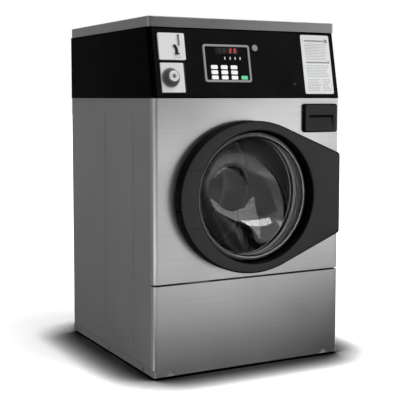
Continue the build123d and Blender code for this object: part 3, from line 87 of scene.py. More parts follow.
# %% Nodes, meshes and sheets
def fill(tree, node, **inputs):
    """Sets a node's inputs, or links them where the value is another node's output."""
    for name, value in inputs.items():
        connect(tree, node.inputs[name.replace("_", " ")], value)


def connect(tree, socket, value):
    """Sets one input, or links it."""
    if isinstance(value, bpy.types.NodeSocket):
        tree.links.new(value, socket)
    else:
        socket.default_value = value


def add_node(tree, kind, **inputs):
    """A shader node of this kind with some of its inputs filled."""
    node = tree.nodes.new("ShaderNode" + kind)
    fill(tree, node, **inputs)
    return node


def worked_out(tree, kind, first, second):
    """The output of a Math node of this kind over two values or outputs."""
    node = tree.nodes.new("ShaderNodeMath")
    node.operation = kind
    for socket, value in zip(node.inputs, (first, second)):
        connect(tree, socket, value)
    return node.outputs[0]


def between(tree, share, first, second, kind="MIX"):
    """The output of a Mix node over two colours."""
    node = tree.nodes.new("ShaderNodeMix")
    node.data_type = "RGBA"
    node.blend_type = kind
    fill(tree, node, Factor=share, A=first, B=second)
    return node.outputs["Result"]


def range_of(tree, value, start, end, low=0, high=1):
    """A value brought from the range of start to end to that of low to high, and held there."""
    return add_node(tree, "MapRange", Value=value, From_Min=start, From_Max=end, To_Min=low,
                    To_Max=high).outputs["Result"]


def ramp_of(tree, value, stops, kind="LINEAR"):
    """A ramp over a value from 0 to 1, from (place, colour) stops."""
    node = tree.nodes.new("ShaderNodeValToRGB")
    ramp = node.color_ramp
    ramp.interpolation = kind
    while len(ramp.elements) < len(stops):
        ramp.elements.new(0.5)
    for element, (place, colour) in zip(ramp.elements, stops):
        element.position = place
        element.color = (*colour, 1)
    fill(tree, node, Fac=value)
    return node.outputs["Color"]


def in_scene(name, data):
    """A new object with this data, in the scene."""
    made = bpy.data.objects.new(name, data)
    bpy.context.scene.collection.objects.link(made)
    return made


def mesh_of(name, points, faces):
    """A mesh from its corners and faces, with its faces turned outwards."""
    mesh = bpy.data.meshes.new(name)
    mesh.from_pydata(points, [], faces)
    shape = bmesh.new()
    shape.from_mesh(mesh)
    bmesh.ops.recalc_face_normals(shape, faces=shape.faces)
    shape.to_mesh(mesh)
    shape.free()
    return mesh


def studio_material(name, shader, **inputs):
    """A material of the studio that has one plain shader, and that shader."""
    material = bpy.data.materials.new(name)
    material.use_nodes = True
    tree = material.node_tree
    tree.nodes.remove(tree.nodes["Principled BSDF"])
    node = add_node(tree, shader, **inputs)
    fill(tree, tree.nodes["Material Output"], Surface=node.outputs[0])
    return material, tree, node


def flat_sheet(name, corners, material):
    """One flat sheet of the studio, which is no part of the machine."""
    mesh = mesh_of(name, corners, [(0, 1, 2, 3)])
    mesh.materials.append(material)
    sheet = in_scene(name, mesh)
    return sheet


print("node and mesh helpers ready")

# %% [markdown]
# ## The camera
# The photograph was taken from the left of the machine's middle, a little below its top and with a long
# lens: the upright edges stay nearly parallel. The height of the horizon in the picture gave the lens
# shift, and the front panel's two vanishing points gave the turn.

# %% Camera
camera_place = Vector((-1.5294, -2.8953, 0.8665))
camera_turn = -0.486
camera_dip = 0.082
camera_lens = 84.51
camera_shift = -0.065


def make_camera():
    """The camera at the photograph's viewing angle."""
    data = bpy.data.cameras.new("camera")
    data.lens = camera_lens
    data.sensor_width = 36
    data.shift_y = camera_shift
    camera = in_scene("camera", data)
    camera.location = camera_place
    camera.rotation_euler = (pi / 2 - camera_dip, 0, camera_turn)
    bpy.context.scene.camera = camera
    return camera


camera = make_camera()
print("camera at", tuple(camera.location))

# %% [markdown]
# ## The studio
# A white floor and an even white surround, and one large soft key light from the front right that throws
# the shadow to the back left. The light is kept at a plain level, at which a colour renders about as it is
# written.

# %% Surround and key light
world_level = 0.6
key_level = 1.8
key_softness = radians(50)
key_direction = Vector((-0.55, 0.75, -1.0))


def white_to_the_eye(tree, low, high):
    """A number that is high where the camera, metal or glass looks, and low for all other light."""
    path = add_node(tree, "LightPath").outputs
    seen = worked_out(tree, "MAXIMUM", path["Is Camera Ray"], path["Is Glossy Ray"])
    seen = worked_out(tree, "MAXIMUM", seen, path["Is Transmission Ray"])
    return range_of(tree, seen, 0, 1, low, high)


def make_world():
    """An even surround that the camera, metal and glass see as white."""
    world = bpy.data.worlds.new("studio_surround")
    bpy.context.scene.world = world
    world.use_nodes = True
    tree = world.node_tree
    tree.nodes.clear()
    light = add_node(tree, "Background", Color=(1, 1, 1, 1), Strength=white_to_the_eye(tree, world_level, 1))
    add_node(tree, "OutputWorld", Surface=light.outputs[0])


def make_key_light():
    """The large soft key light, from the front right and above."""
    data = bpy.data.lights.new("key_light", "SUN")
    data.energy = key_level
    data.angle = key_softness
    light = in_scene("key_light", data)
    light.rotation_euler = key_direction.to_track_quat("-Z", "Y").to_euler()
    light.visible_glossy = False


make_world()
make_key_light()
bpy.context.scene.view_settings.view_transform = "Standard"
print("surround", world_level, "key", key_level)

# %% [markdown]
# ## The floor
# The floor is a wide white sheet that takes the machine's shadow. A soft key light alone leaves too little
# of the dark line that a heavy cabinet has along its base, so the floor is also darkened where the machine
# hides most of its sky.

# %% Floor
floor_white = 0.85
floor_seen = 1.6
floor_reach = 40
contact_reach = 0.17
contact_depth = 7


def make_floor():
    """The wide white floor, bright to the eye but shaded where the machine stands."""
    paper, tree, matt = studio_material("white_paper", "BsdfDiffuse")
    open_sky = add_node(tree, "AmbientOcclusion", Distance=contact_reach).outputs["AO"]
    shaded = worked_out(tree, "MULTIPLY", worked_out(tree, "POWER", open_sky, contact_depth), floor_seen)
    fill(tree, matt, Color=white_to_the_eye(tree, floor_white, shaded))
    corners = [(x * floor_reach, y * floor_reach, 0) for x, y in ((-1, -1), (1, -1), (1, 1), (-1, 1))]
    flat_sheet("studio_floor", corners, paper)


make_floor()
print("floor", floor_white, "seen as", floor_seen)

# %% [markdown]
# ## How a card is made
# Metal is only as interesting as what it mirrors, so cards stand where a product photographer would place
# cloth, board and soft boxes. Each is a flat sheet that glows with its own tone, and only reflections see
# it: it neither lights the machine nor hides the floor.

# %% Card helpers
def glowing_cloth(name, tone):
    """Cloth that glows with one even tone: its material, its tree and its shader."""
    return studio_material(name, "Emission", Color=(1, 1, 1, 1), Strength=tone)


def place_card(name, corners, cloth):
    """A card that only shiny surfaces see."""
    card = flat_sheet(name, corners, cloth)
    card.visible_camera = False
    card.visible_diffuse = False
    card.visible_transmission = False
    card.visible_shadow = False


def make_card(name, corners, tone):
    """A card of one tone."""
    place_card(name, corners, glowing_cloth(name + "_cloth", tone)[0])


def make_soft_box(name, corners, tone):
    """An upright card, across the machine, that is brightest in its middle."""
    cloth, tree, glow = glowing_cloth(name + "_cloth", tone)
    where = add_node(tree, "SeparateXYZ", Vector=add_node(tree, "TexCoord").outputs["Generated"])
    level = tone
    for axis in ("X", "Z"):
        share = where.outputs[axis]
        hill = worked_out(tree, "MULTIPLY", share, worked_out(tree, "SUBTRACT", 1, share))
        level = worked_out(tree, "MULTIPLY", worked_out(tree, "MULTIPLY", hill, 4), level)
    fill(tree, glow, Strength=level)
    place_card(name, corners, cloth)


def upright(start, end, low, high):
    """The corners of an upright sheet over a line on the floor."""
    return [(*start, low), (*end, low), (*end, high), (*start, high)]


print("card helpers ready")

# %% [markdown]
# ## The graded card on the floor
# The front panel leans towards the eye like a mirror, so its lower half shows the floor before the machine.
# A graded card lies there, dark near the machine and light further out. Its tones fan out from a point
# behind the front, as the panel's own gradient does: one ramp runs outwards, and two run across the fan,
# near and far.

# %% Floor card
panel_to_fan = 2.547
fan_x, fan_y = -1.53, front_y + panel_to_fan
fan_low, fan_high = 0.4666, 0.7347
near_ends, far_starts = 0.3, 0.42
card_left, card_right = -1.4, 3
card_reach = 60
card_lift = 0.002
out_stops = ((0, 0.11), (0.06, 0.14), (0.14, 0.2), (0.21, 0.36), (0.27, 0.68), (0.33, 1.1), (0.45, 1.5),
             (0.6, 2.2), (1, 3.3))
near_stops = ((0, 0.9), (0.12, 0.96), (0.3, 1.0), (0.42, 0.94), (0.55, 0.78), (0.68, 0.52), (0.8, 0.3),
              (0.9, 0.18), (1, 0.12))
far_stops = ((0, 0.45), (0.1, 0.65), (0.22, 0.84), (0.4, 0.97), (0.6, 1.08), (0.76, 1.12), (0.88, 1.0),
             (1, 0.8))


def make_floor_card():
    """The graded card: its tones fan out and brighten with distance."""
    cloth, tree, glow = glowing_cloth("floor_card_cloth", 1)
    where = add_node(tree, "SeparateXYZ", Vector=add_node(tree, "TexCoord").outputs["Object"]).outputs
    reach = worked_out(tree, "SUBTRACT", fan_y, where["Y"])
    outwards = worked_out(tree, "SUBTRACT", 1, worked_out(tree, "DIVIDE", panel_to_fan, reach))
    fan = worked_out(tree, "DIVIDE", worked_out(tree, "SUBTRACT", where["X"], fan_x), reach)
    across = range_of(tree, fan, fan_low, fan_high)
    farness = range_of(tree, outwards, near_ends, far_starts)
    ramps = []
    for value, stops in ((across, near_stops), (across, far_stops), (outwards, out_stops)):
        ramps.append(ramp_of(tree, value, [(place, (tone,) * 3) for place, tone in stops], "B_SPLINE"))
    sideways = between(tree, farness, ramps[0], ramps[1])
    fill(tree, glow, Strength=between(tree, 1, ramps[2], sideways, "MULTIPLY"))
    near = front_y - 0.01
    corners = ((card_left, near), (card_right, near), (card_reach, -card_reach), (card_left, -card_reach))
    place_card("floor_card", [(*corner, card_lift) for corner in corners], cloth)


make_floor_card()
print("floor card with", len(out_stops), "tones outwards")

# %% [markdown]
# ## The cards round the machine
# A black card before the hood keeps it black, and another darkens the panel's upper left corner. Grey cards
# at the left tone the painted side and the front left edge. A soft box in front lights the upper panel, and
# a narrow one high up draws the bright arc on the glass bowl.

# %% Cards
card_black = 0.012
card_grey = 0.24
make_card("hood_card", [(-3.2, -3.2, 1.35), (4.6, -3.2, 1.75), (4.6, -2.4, 4.2), (-3.2, -2.4, 4.2)],
          card_black)
make_card("corner_card", [(-3.2, -3.21, 0.72), (1.6, -3.21, 0.76), (2.3, -3.21, 1.7), (-3.2, -3.21, 1.7)],
          card_black)
make_card("side_card", upright((-4.6, 1.2), (-0.9, 3.6), 0, 3.2), card_grey)
side_corners = ((-4.6, -0.3), (-0.345, -0.3), (-0.345, 3.6), (-4.6, 3.6))
make_card("side_floor_card", [(*corner, card_lift) for corner in side_corners], card_grey)
make_card("left_card", upright((-4.2, 1.2), (-3.9, -4.6), 0, 3.4), 0.4)
make_card("front_left_card", upright((-3.9, -4.6), (-0.6, -5.6), 0, 3.4), 0.3)
make_soft_box("panel_box", upright((1.15, -5), (4.5, -5), 0.02, 1.2), 2.7)
make_card("top_box", [(-0.9, -1.85, 3.4), (2.2, -1.85, 3.4), (2.2, -1.6, 3.5), (-0.9, -1.6, 3.5)], 12)
print("cards placed")

# %% [markdown]
# ## How a finish is made
# Each finish is a small tree of nodes around one shader. The grain, speckle or brushing is worked out from
# the object's own coordinates, in metres, so it keeps its real scale and turns with the part. A finish is
# known by its name, which for most of them is the name of a material slot in the record.

# %% Finish helpers
finish_named = {}


class Finish:
    """A material, with short ways to add the nodes that give it grain."""

    def __init__(self, name, colour, roughness, metallic=0.0, specular=0.5):
        self.material = bpy.data.materials.new(name)
        self.material.use_nodes = True
        self.tree = self.material.node_tree
        self.colour = colour
        self.specular = specular
        self.height = None
        self.shader(Base_Color=(*colour, 1), Roughness=roughness, Metallic=metallic,
                    Specular_IOR_Level=specular)
        finish_named[name] = self

    def shader(self, **inputs):
        """Sets or links inputs of the shader."""
        fill(self.tree, self.tree.nodes["Principled BSDF"], **inputs)

    def node(self, kind, **inputs):
        """A node with some of its inputs filled."""
        return add_node(self.tree, kind, **inputs)

    def place(self, stretch):
        """The object's own coordinates, stretched."""
        where = self.node("TexCoord").outputs["Object"]
        if stretch == (1, 1, 1):
            return where
        return self.node("Mapping", Vector=where, Scale=stretch).outputs["Vector"]

    def noise(self, size, stretch=(1, 1, 1), detail=2.0, roughness=0.5):
        """Smooth noise whose grains are about this size in metres."""
        return self.node("TexNoise", Vector=self.place(stretch), Scale=1 / size, Detail=detail,
                         Roughness=roughness).outputs["Fac"]

    def cells(self, size):
        """Crystal-like cells of about this size in metres."""
        made = self.node("TexVoronoi", Vector=self.place((1, 1, 1)), Scale=1 / size)
        return made.outputs["Distance"], made.outputs["Color"]

    def spread(self, value, low, high, start=0.3, end=0.7):
        """Maps a noise value to a range."""
        return range_of(self.tree, value, start, end, low, high)

    def paint(self, value, dark, light, start=0.3, end=0.7):
        """The shader's colour varies between two shades of the finish's own colour."""
        shades = [[share * part for part in self.colour] for share in (dark, light)]
        self.painted = ramp_of(self.tree, value, list(zip((start, end), shades)))
        self.shader(Base_Color=self.painted)

    def paint_shade_on_sides(self, share, start=0.72, end=0.97):
        """Paints shade: cuts colour and shine to this share where the surface turns away from the front."""
        normal = self.node("TexCoord").outputs["Normal"]
        facing = worked_out(self.tree, "ABSOLUTE", self.node("SeparateXYZ", Vector=normal).outputs["Y"], 0)
        level = self.spread(facing, share, 1, start, end)
        grey = self.node("CombineColor", Red=level, Green=level, Blue=level).outputs["Color"]
        self.shader(Base_Color=between(self.tree, 1, self.painted, grey, "MULTIPLY"),
                    Specular_IOR_Level=worked_out(self.tree, "MULTIPLY", level, self.specular))

    def gloss(self, value, low, high, start=0.3, end=0.7):
        """The shader's roughness varies in a range."""
        self.shader(Roughness=self.spread(value, low, high, start, end))

    def bump(self, value, depth, strength=0.5):
        """Adds relief of this depth in metres."""
        made = self.node("Bump", Height=value, Distance=depth, Strength=strength)
        if self.height is not None:
            fill(self.tree, made, Normal=self.height)
        self.height = made.outputs["Normal"]
        self.shader(Normal=self.height)


print("finish helpers ready")

# %% [markdown]
# ## Sheet metals
# The front is stainless steel, brushed from side to side. Brushing is thousands of fine scratches in one
# direction: noise that is stretched hard along the brush and squeezed across it gives both the colour
# streaks and the uneven gloss. The sides are powder coated: flat grey with a faint orange peel. Out of
# sight, the base and the back are zinc coated, with the spangle of hot dipping.

# %% Sheet metals
def brushed_steel(name, colour, roughness, contrast=0.06, metallic=1.0):
    """Brushed stainless steel with fine scratches from side to side."""
    finish = Finish(name, colour, roughness, metallic=metallic)
    scratches = finish.noise(0.0016, (0.004, 1, 1), detail=3, roughness=0.6)
    finish.paint(scratches, 1 - contrast, 1 + contrast)
    finish.gloss(finish.noise(0.16), roughness - 0.03, roughness + 0.05)
    finish.bump(scratches, 0.00001, 0.1)


def powder_coat(name, colour, roughness, specular):
    """Powder coated sheet with a faint orange peel."""
    finish = Finish(name, colour, roughness, specular=specular)
    clouds = finish.noise(0.22, detail=3)
    finish.paint(clouds, 0.94, 1.06)
    finish.gloss(clouds, roughness - 0.05, roughness + 0.05)
    finish.bump(finish.noise(0.0016, detail=3), 0.00006)


def galvanised(name, colour):
    """Zinc coated sheet with its spangle."""
    finish = Finish(name, colour, 0.42, metallic=0.85)
    distance, tint = finish.cells(0.014)
    grey = finish.node("RGBToBW", Color=tint).outputs["Val"]
    finish.paint(grey, 0.82, 1.16, 0.1, 0.9)
    finish.gloss(grey, 0.34, 0.52, 0.1, 0.9)
    finish.bump(finish.noise(0.004, detail=3), 0.00004, 0.4)


brushed_steel("stainless_steel", (0.62, 0.62, 0.615), 0.315)
brushed_steel("lid_steel", (0.4, 0.4, 0.395), 0.38)
brushed_steel("coin_steel", (0.8, 0.8, 0.795), 0.32, contrast=0.03, metallic=0.25)
powder_coat("side_paint", (0.15, 0.152, 0.156), 0.5, 0.3)
powder_coat("hood_black", (0.0008, 0.0008, 0.001), 0.4, 0.006)
galvanised("zinc_steel", (0.42, 0.43, 0.44))
galvanised("dark_zinc", (0.07, 0.07, 0.075))
print("sheet metals: stainless, lid, coin, side paint, hood, zinc")

# %% [markdown]
# ## Plastics and rubber
# Injection-moulded plastic copies the texture of its mould: a very fine leather-like grain on the door and
# the drawer, a smoother satin on keys. Rubber is matt and catches a little dust.

# %% Plastics and rubber
def moulded(name, colour, roughness, grain=0.0009, depth=0.00005, specular=0.4):
    """Moulded plastic or rubber with the fine grain of its mould."""
    finish = Finish(name, colour, roughness, specular=specular)
    distance, tint = finish.cells(grain)
    clouds = finish.noise(0.12)
    finish.paint(clouds, 0.94, 1.06)
    finish.gloss(clouds, roughness - 0.04, roughness + 0.06)
    finish.bump(distance, depth)
    return finish


# The door's plastic gets painted shade: where it turns away from the front, its colour drops almost to
# black.
moulded("door_plastic", (0.018, 0.0184, 0.0195), 0.42, specular=0.3).paint_shade_on_sides(0.06)
moulded("drawer_plastic", (0.015, 0.015, 0.0165), 0.45, specular=0.3)
# Near-black for painted shade: the door's outer and mouth walls, the drawer's border and its finger slot. It
# also draws the dark seams of the hinge cover.
moulded("painted_shade_and_seam_black", (0.0018, 0.0018, 0.002), 0.5, specular=0.05)
moulded("fascia_black", (0.0035, 0.0035, 0.004), 0.34, 0.0006, 0.00001, 0.16)
moulded("bezel_grey", (0.26, 0.27, 0.27), 0.45)
moulded("display_dark", (0.018, 0.018, 0.015), 0.15, 0.002, 0.00001, 0.3)
moulded("segment_dim", (0.035, 0.038, 0.032), 0.4, 0.002, 0.00001)
moulded("key_grey", (0.86, 0.87, 0.88), 0.5)
moulded("key_green", (0.13, 0.62, 0.3), 0.5)
moulded("lens_grey", (0.24, 0.24, 0.245), 0.34, 0.0014, 0.00002)
moulded("mark_white", (0.6, 0.63, 0.6), 0.34, 0.0014, 0.00002)
moulded("label_grey", (0.66, 0.665, 0.67), 0.6, 0.002, 0.00001)
moulded("print_grey", (0.24, 0.242, 0.245), 0.7, 0.002, 0.00001)
moulded("print_light", (0.36, 0.363, 0.366), 0.7, 0.002, 0.00001)
moulded("collar_grey", (0.055, 0.055, 0.057), 0.45, 0.0008)
# Near-black for painted shade: the coin slot's lining, the lock's keyway, and the return lever with the
# shade round it.
moulded("slot_shade_black", (0.008, 0.008, 0.008), 0.5)
moulded("tub_plastic", (0.66, 0.66, 0.64), 0.5, 0.0018)
moulded("light_plastic", (0.72, 0.73, 0.73), 0.45)
moulded("black_rubber", (0.022, 0.022, 0.022), 0.75, 0.0012, specular=0.25)
moulded("grey_rubber", (0.17, 0.17, 0.175), 0.6, 0.0016)
print("plastics and rubber made")

# %% [markdown]
# ## Castings, concrete and the rest
# The bearing housing and spider are castings: grainy and dull. The saddle counterweight is concrete, with
# pores. The lock barrel is chromed. Glass is clear, with a trace of grey-green. The board is green lacquer
# over copper.

# %% Castings, chrome, glass and board
def casting(name, colour, roughness, metallic):
    """Sand-cast metal with a pebbled skin."""
    finish = Finish(name, colour, roughness, metallic=metallic)
    pebbles = finish.noise(0.0022, detail=5, roughness=0.65)
    finish.paint(finish.noise(0.05, detail=3), 0.85, 1.15)
    finish.gloss(pebbles, roughness - 0.08, roughness + 0.1)
    finish.bump(pebbles, 0.0003, 0.6)


def cast_concrete(name, colour):
    """Concrete with pores and darker patches."""
    finish = Finish(name, colour, 0.9, specular=0.2)
    distance, tint = finish.cells(0.006)
    finish.paint(finish.noise(0.045, detail=6, roughness=0.6), 0.78, 1.2)
    finish.bump(finish.spread(distance, 0, 1, 0.05, 0.3), 0.0008)
    finish.bump(finish.noise(0.003, detail=4), 0.0004)


def polished(name, colour, roughness):
    """Polished or plated metal with faint swirl marks."""
    finish = Finish(name, colour, roughness, metallic=1.0)
    finish.gloss(finish.noise(0.0025, (0.2, 1, 1), detail=3), roughness * 0.9, roughness * 1.25)
    finish.paint(finish.noise(0.03), 0.96, 1.03)


def clear_glass(name, tint):
    """Clear pressed glass, faintly wavy."""
    finish = Finish(name, tint, 0.0)
    finish.shader(Transmission_Weight=1, IOR=1.5)
    finish.bump(finish.noise(0.06, detail=1), 0.0006, 0.25)


def lacquered_board(name, colour):
    """Green lacquer over copper tracks."""
    finish = Finish(name, colour, 0.35)
    shades = [(*[share * part for part in colour], 1) for share in (1, 1.5, 0.6)]
    brick = finish.node("TexBrick", Vector=finish.place((1, 1, 1)), Scale=60, Color1=shades[0],
                        Color2=shades[1], Mortar=shades[2]).outputs
    finish.shader(Base_Color=brick["Color"])
    finish.bump(brick["Fac"], 0.00004, 0.4)


def glowing(name, colour, strength, share):
    """A lens or segment that glows with its own light."""
    finish = Finish(name, [share * part for part in colour], 0.35)
    finish.paint(finish.noise(0.004), 0.8, 1.2)
    finish.shader(Emission_Color=(*colour, 1), Emission_Strength=strength)


polished("lock_chrome", (0.5, 0.5, 0.5), 0.2)
brushed_steel("lock_satin", (0.72, 0.72, 0.715), 0.35, contrast=0.03, metallic=0.3)
# The drum's steel is darker than stainless steel is, and its back darker still: painted shade for the dim
# inside of the drum.
polished("drum_steel", (0.3, 0.3, 0.298), 0.32)
polished("drum_back_shaded_steel", (0.12, 0.12, 0.12), 0.5)
casting("cast_iron", (0.05, 0.05, 0.052), 0.6, 0.3)
casting("cast_aluminium", (0.55, 0.55, 0.55), 0.5, 0.9)
cast_concrete("concrete", (0.4, 0.39, 0.37))
clear_glass("clear_glass", (0.95, 0.955, 0.955))
lacquered_board("circuit_board", (0.02, 0.14, 0.06))
glowing("segment_red", (1, 0.09, 0.1), 1.1, 0.3)
print("finishes in all:", len(finish_named))

# %% [markdown]
# ## The finishes go on the solids
# The record names a finish for every node, so one loop dresses them all. Three nodes get another one: the
# lid has its own darker brushing, and screws and coin works are of dark zinc.

# %% Dress the solids
finish_of_node = {"top_panel": "lid_steel", "panel_screws": "dark_zinc", "coin_mechanism": "dark_zinc"}
for part in frame["record"]["subparts"]:
    finish = finish_named[finish_of_node.get(part["node"], part["material_slot"])]
    data = nodes[part["node"]].data
    data.materials.clear()
    data.materials.append(finish.material)

# %% [markdown]
# ## Ways to make a shape
# Most of the hidden pieces are turned, swept or stretched over rings. A ring is a list of corners, and a
# skin over a row of rings makes a tube, a bowl or a bellows. These helpers return corners and faces.

# %% Shape helpers
def skin(rings, along=False, caps=False):
    """Corners and faces of a skin stretched over rings of one count."""
    count = len(rings[0])
    points = [point for ring in rings for point in ring]
    faces = []
    for row in range(len(rings) if along else len(rings) - 1):
        this = row * count
        following = (row + 1) % len(rings) * count
        for step in range(count):
            after = (step + 1) % count
            faces.append((this + step, this + after, following + after, following + step))
    if caps:
        faces.append(tuple(range(count)))
        faces.append(tuple(range(len(points) - count, len(points))))
    return points, faces


def circle(steps):
    """The cosine and sine at even steps round a circle."""
    angles = [2 * pi * step / steps for step in range(steps)]
    return [(cos(angle), sin(angle)) for angle in angles]


def turned(profile, place, steps):
    """A closed profile of (radius, along) turned about an axis: place(across, up, along) gives a point."""
    rings = [[place(r * cosine, r * sine, t) for r, t in profile] for cosine, sine in circle(steps)]
    return skin(rings, along=True)


def round_drum(across, up, y):
    """A point of the machine from the drum's axis, which runs from front to back."""
    return across, y, axis_z + up


def arc(start_angle, end_angle, centre, radius, steps=6):
    """Points of an arc between two angles in degrees."""
    points = []
    for step in range(steps + 1):
        angle = radians(start_angle + (end_angle - start_angle) * step / steps)
        points.append((centre[0] + radius * cos(angle), centre[1] + radius * sin(angle)))
    return points


def tube(path, radius, sides=10):
    """A round tube along a path of points."""
    path = [Vector(point) for point in path]
    rings = []
    side = Vector((0, 0, 0))
    for number, point in enumerate(path):
        heading = (path[min(number + 1, len(path) - 1)] - path[max(number - 1, 0)]).normalized()
        if side.length < 0.5:
            side = heading.orthogonal().normalized()
        side = (side - heading * side.dot(heading)).normalized()
        other = heading.cross(side)
        rings.append([tuple(point + side * (radius * cosine) + other * (radius * sine))
                      for cosine, sine in circle(sides)])
    return skin(rings, caps=True)


def wall_of(line, thickness):
    """A closed profile: the line of (radius, place) and the same line moved sideways by the thickness."""
    back = []
    for number, (r, t) in enumerate(line):
        before = line[max(number - 1, 0)]
        after = line[min(number + 1, len(line) - 1)]
        run, rise = after[0] - before[0], after[1] - before[1]
        size = hypot(run, rise) or 1
        back.append((r - rise / size * thickness, t + run / size * thickness))
    return line + back[::-1]


def joined(*shapes):
    """Several shapes as one list of corners and faces."""
    points, faces = [], []
    for more_points, more_faces in shapes:
        start = len(points)
        points += more_points
        faces += [tuple(start + corner for corner in face) for face in more_faces]
    return points, faces


def make_piece(name, shape, finish, body, replaced=None, slot=None, smooth=35):
    """A piece of this shape and finish on its body, in place of the named node, smooth up to this angle."""
    mesh = mesh_of(name, *shape)
    mesh.materials.append(finish_named[finish].material)
    if smooth:
        mesh.shade_smooth()
        mesh.set_sharp_from_angle(angle=radians(smooth))
    piece = in_scene(name, mesh)
    if body:
        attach(piece, body)
    slot or finish
    if replaced:
        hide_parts(replaced)
    print(name, len(mesh.polygons), "faces")
    return piece


# %% [markdown]
# ## The drum
# The real drum is a stainless cylinder with thousands of punched holes, a rolled front lip, a pressed back
# and three ribs that lift the laundry. A texture could only pretend the holes, and they are seen against
# the dark tub, so each hole is real: the wall is a lattice of diamonds, and every diamond has an
# eight-sided hole.

# %% Drum wall
drum_sheet = 1.5 * MM
drum_setback = 92 * MM
roll_radius = 14 * MM
hole_radius = 2.6 * MM
hole_columns = 180
hole_rows = 34
hole_sides = 8
wall_start = front_y + drum_setback + roll_radius
wall_end = drum_box[1].y - roll_radius


def drum_point(column, row, outside):
    """A point of the drum wall at this place of the lattice, on its outer or inner face."""
    radius = drum_radius - (0 if outside else drum_sheet)
    angle = 2 * pi * column / hole_columns
    y = wall_start + (wall_end - wall_start) * row / hole_rows
    return round_drum(radius * cos(angle), radius * sin(angle), y)


def perforated_wall():
    """The drum's wall with its punched holes."""
    points, faces = [], []
    corner_of = {}
    hole_wide = hole_radius / (2 * pi * drum_radius / hole_columns)
    hole_deep = hole_radius / ((wall_end - wall_start) / hole_rows)

    def corner(column, row, outside):
        key = (column % hole_columns, row, outside)
        if key not in corner_of:
            corner_of[key] = len(points)
            points.append(drum_point(column, row, outside))
        return corner_of[key]

    diamonds = [(column, row) for column in range(hole_columns) for row in range(hole_rows + 1)
                if (column + row) % 2]
    for column, row in diamonds:
        rims = []
        for outside in (True, False):
            around = [(column + 1, row), (column, row + 1), (column - 1, row), (column, row - 1)]
            around = [corner(*place, outside) for place in around if 0 <= place[1] <= hole_rows]
            if row in (0, hole_rows):
                faces.append(tuple(around))
                continue
            rim = len(points)
            rims.append(rim)
            points += [drum_point(column + hole_wide * cosine, row + hole_deep * sine, outside)
                       for cosine, sine in circle(hole_sides)]
            for side in range(4):
                here, after = around[side], around[(side + 1) % 4]
                first, middle = rim + 2 * side, rim + 2 * side + 1
                last = rim + (2 * side + 2) % hole_sides
                faces += [(here, first, middle), (here, middle, after), (after, middle, last)]
        if rims:
            for step in range(hole_sides):
                after = (step + 1) % hole_sides
                faces.append((rims[0] + step, rims[0] + after, rims[1] + after, rims[1] + step))
    for row in (0, hole_rows):
        for column in [column for column in range(hole_columns) if (column + row) % 2 == 0]:
            places = ((column, True), (column + 2, True), (column + 2, False), (column, False))
            faces.append(tuple(corner(place, row, outside) for place, outside in places))
    return points, faces


make_piece("drum_wall", perforated_wall(), "drum_steel", "drum", "drum_basket", smooth=0)

# %% [markdown]
# ## The drum's ends and lifters
# The ends are pressings, so each is one line of (radius, depth) turned about the axis, with a thickness. A
# lifter is a rounded rib: its height swells and falls along the drum, and its section is a raised cosine.

# %% Drum ends and lifters
mouth_radius = 205 * MM
lifter_height = 58 * MM
lifter_width = 104 * MM
lifter_angles = (90, 210, 330)
lifter_fullness = 2.4
lifter_shoulder, lifter_crest = 0.6, 0.8
lifter_stations, lifter_steps = 18, 16


def drum_front_ring():
    """The front of the drum, rolled at its outer edge and at the mouth."""
    outer = arc(0, -90, (drum_radius - roll_radius, wall_start), roll_radius)
    face_y = wall_start - roll_radius
    inner = [(mouth_radius + 10 * MM, face_y), (mouth_radius + 4 * MM, face_y - 1.5 * MM),
             (mouth_radius + 1 * MM, face_y - 4.5 * MM)]
    line = [(drum_radius, wall_start + 3 * MM)] + outer + [(mouth_radius + 30 * MM, face_y)] + inner
    return turned(wall_of(line, drum_sheet), round_drum, 128)


def drum_back_plate():
    """The pressed back: a dished middle, three rings of relief and a rolled edge."""
    roll = arc(0, 90, (drum_radius - roll_radius, wall_end), roll_radius)
    back_y = wall_end + roll_radius
    line = [(drum_radius, wall_end - 3 * MM)] + roll
    for radius, dish in ((225, 0), (214, 7), (160, 7), (150, 0), (92, 0), (82, 9), (40, 12), (1, 12)):
        line.append((radius * MM, back_y - dish * MM))
    return turned(wall_of(line, -drum_sheet), round_drum, 128)


def drum_lifter(angle_degrees):
    """One rounded, hollow-looking rib that lifts the laundry."""
    rings = []
    start, end = wall_start + 6 * MM, wall_end - 6 * MM
    inside = drum_radius - drum_sheet
    for station in range(lifter_stations + 1):
        share = station / lifter_stations
        swell = min(1, sin(pi * share) * lifter_fullness) ** lifter_shoulder if 0 < share < 1 else 0.02
        ridge, foot = [], []
        for step in range(lifter_steps + 1):
            across = 2 * step / lifter_steps - 1
            angle = radians(angle_degrees) + across * lifter_width / 2 / inside
            height = swell * (0.5 + 0.5 * cos(pi * across)) ** lifter_crest * lifter_height
            y = start + (end - start) * share
            for line, radius in ((ridge, inside - height), (foot, inside + 0.4 * MM)):
                line.append(round_drum(radius * cos(angle), radius * sin(angle), y))
        rings.append(ridge + foot[::-1])
    return skin(rings, caps=True)


make_piece("drum_front_ring", drum_front_ring(), "drum_steel", "drum", "drum_basket")
make_piece("drum_back_plate", drum_back_plate(), "drum_back_shaded_steel", "drum", "drum_basket", "drum_steel")
for number, angle in enumerate(lifter_angles):
    make_piece(f"drum_lifter_{number + 1}", drum_lifter(angle), "drum_steel", "drum", "drum_basket")

# %% [markdown]
# ## The glass bowl
# The door's window is a thick bowl of pressed glass whose closed end is flat and leans, so that laundry
# falls back into the drum. It is made as a row of circles that shrink and rise towards the end, with a
# round shoulder, once for the outside and once for the inside. Smooth faces matter most here, since all
# that one sees of glass is what it mirrors.

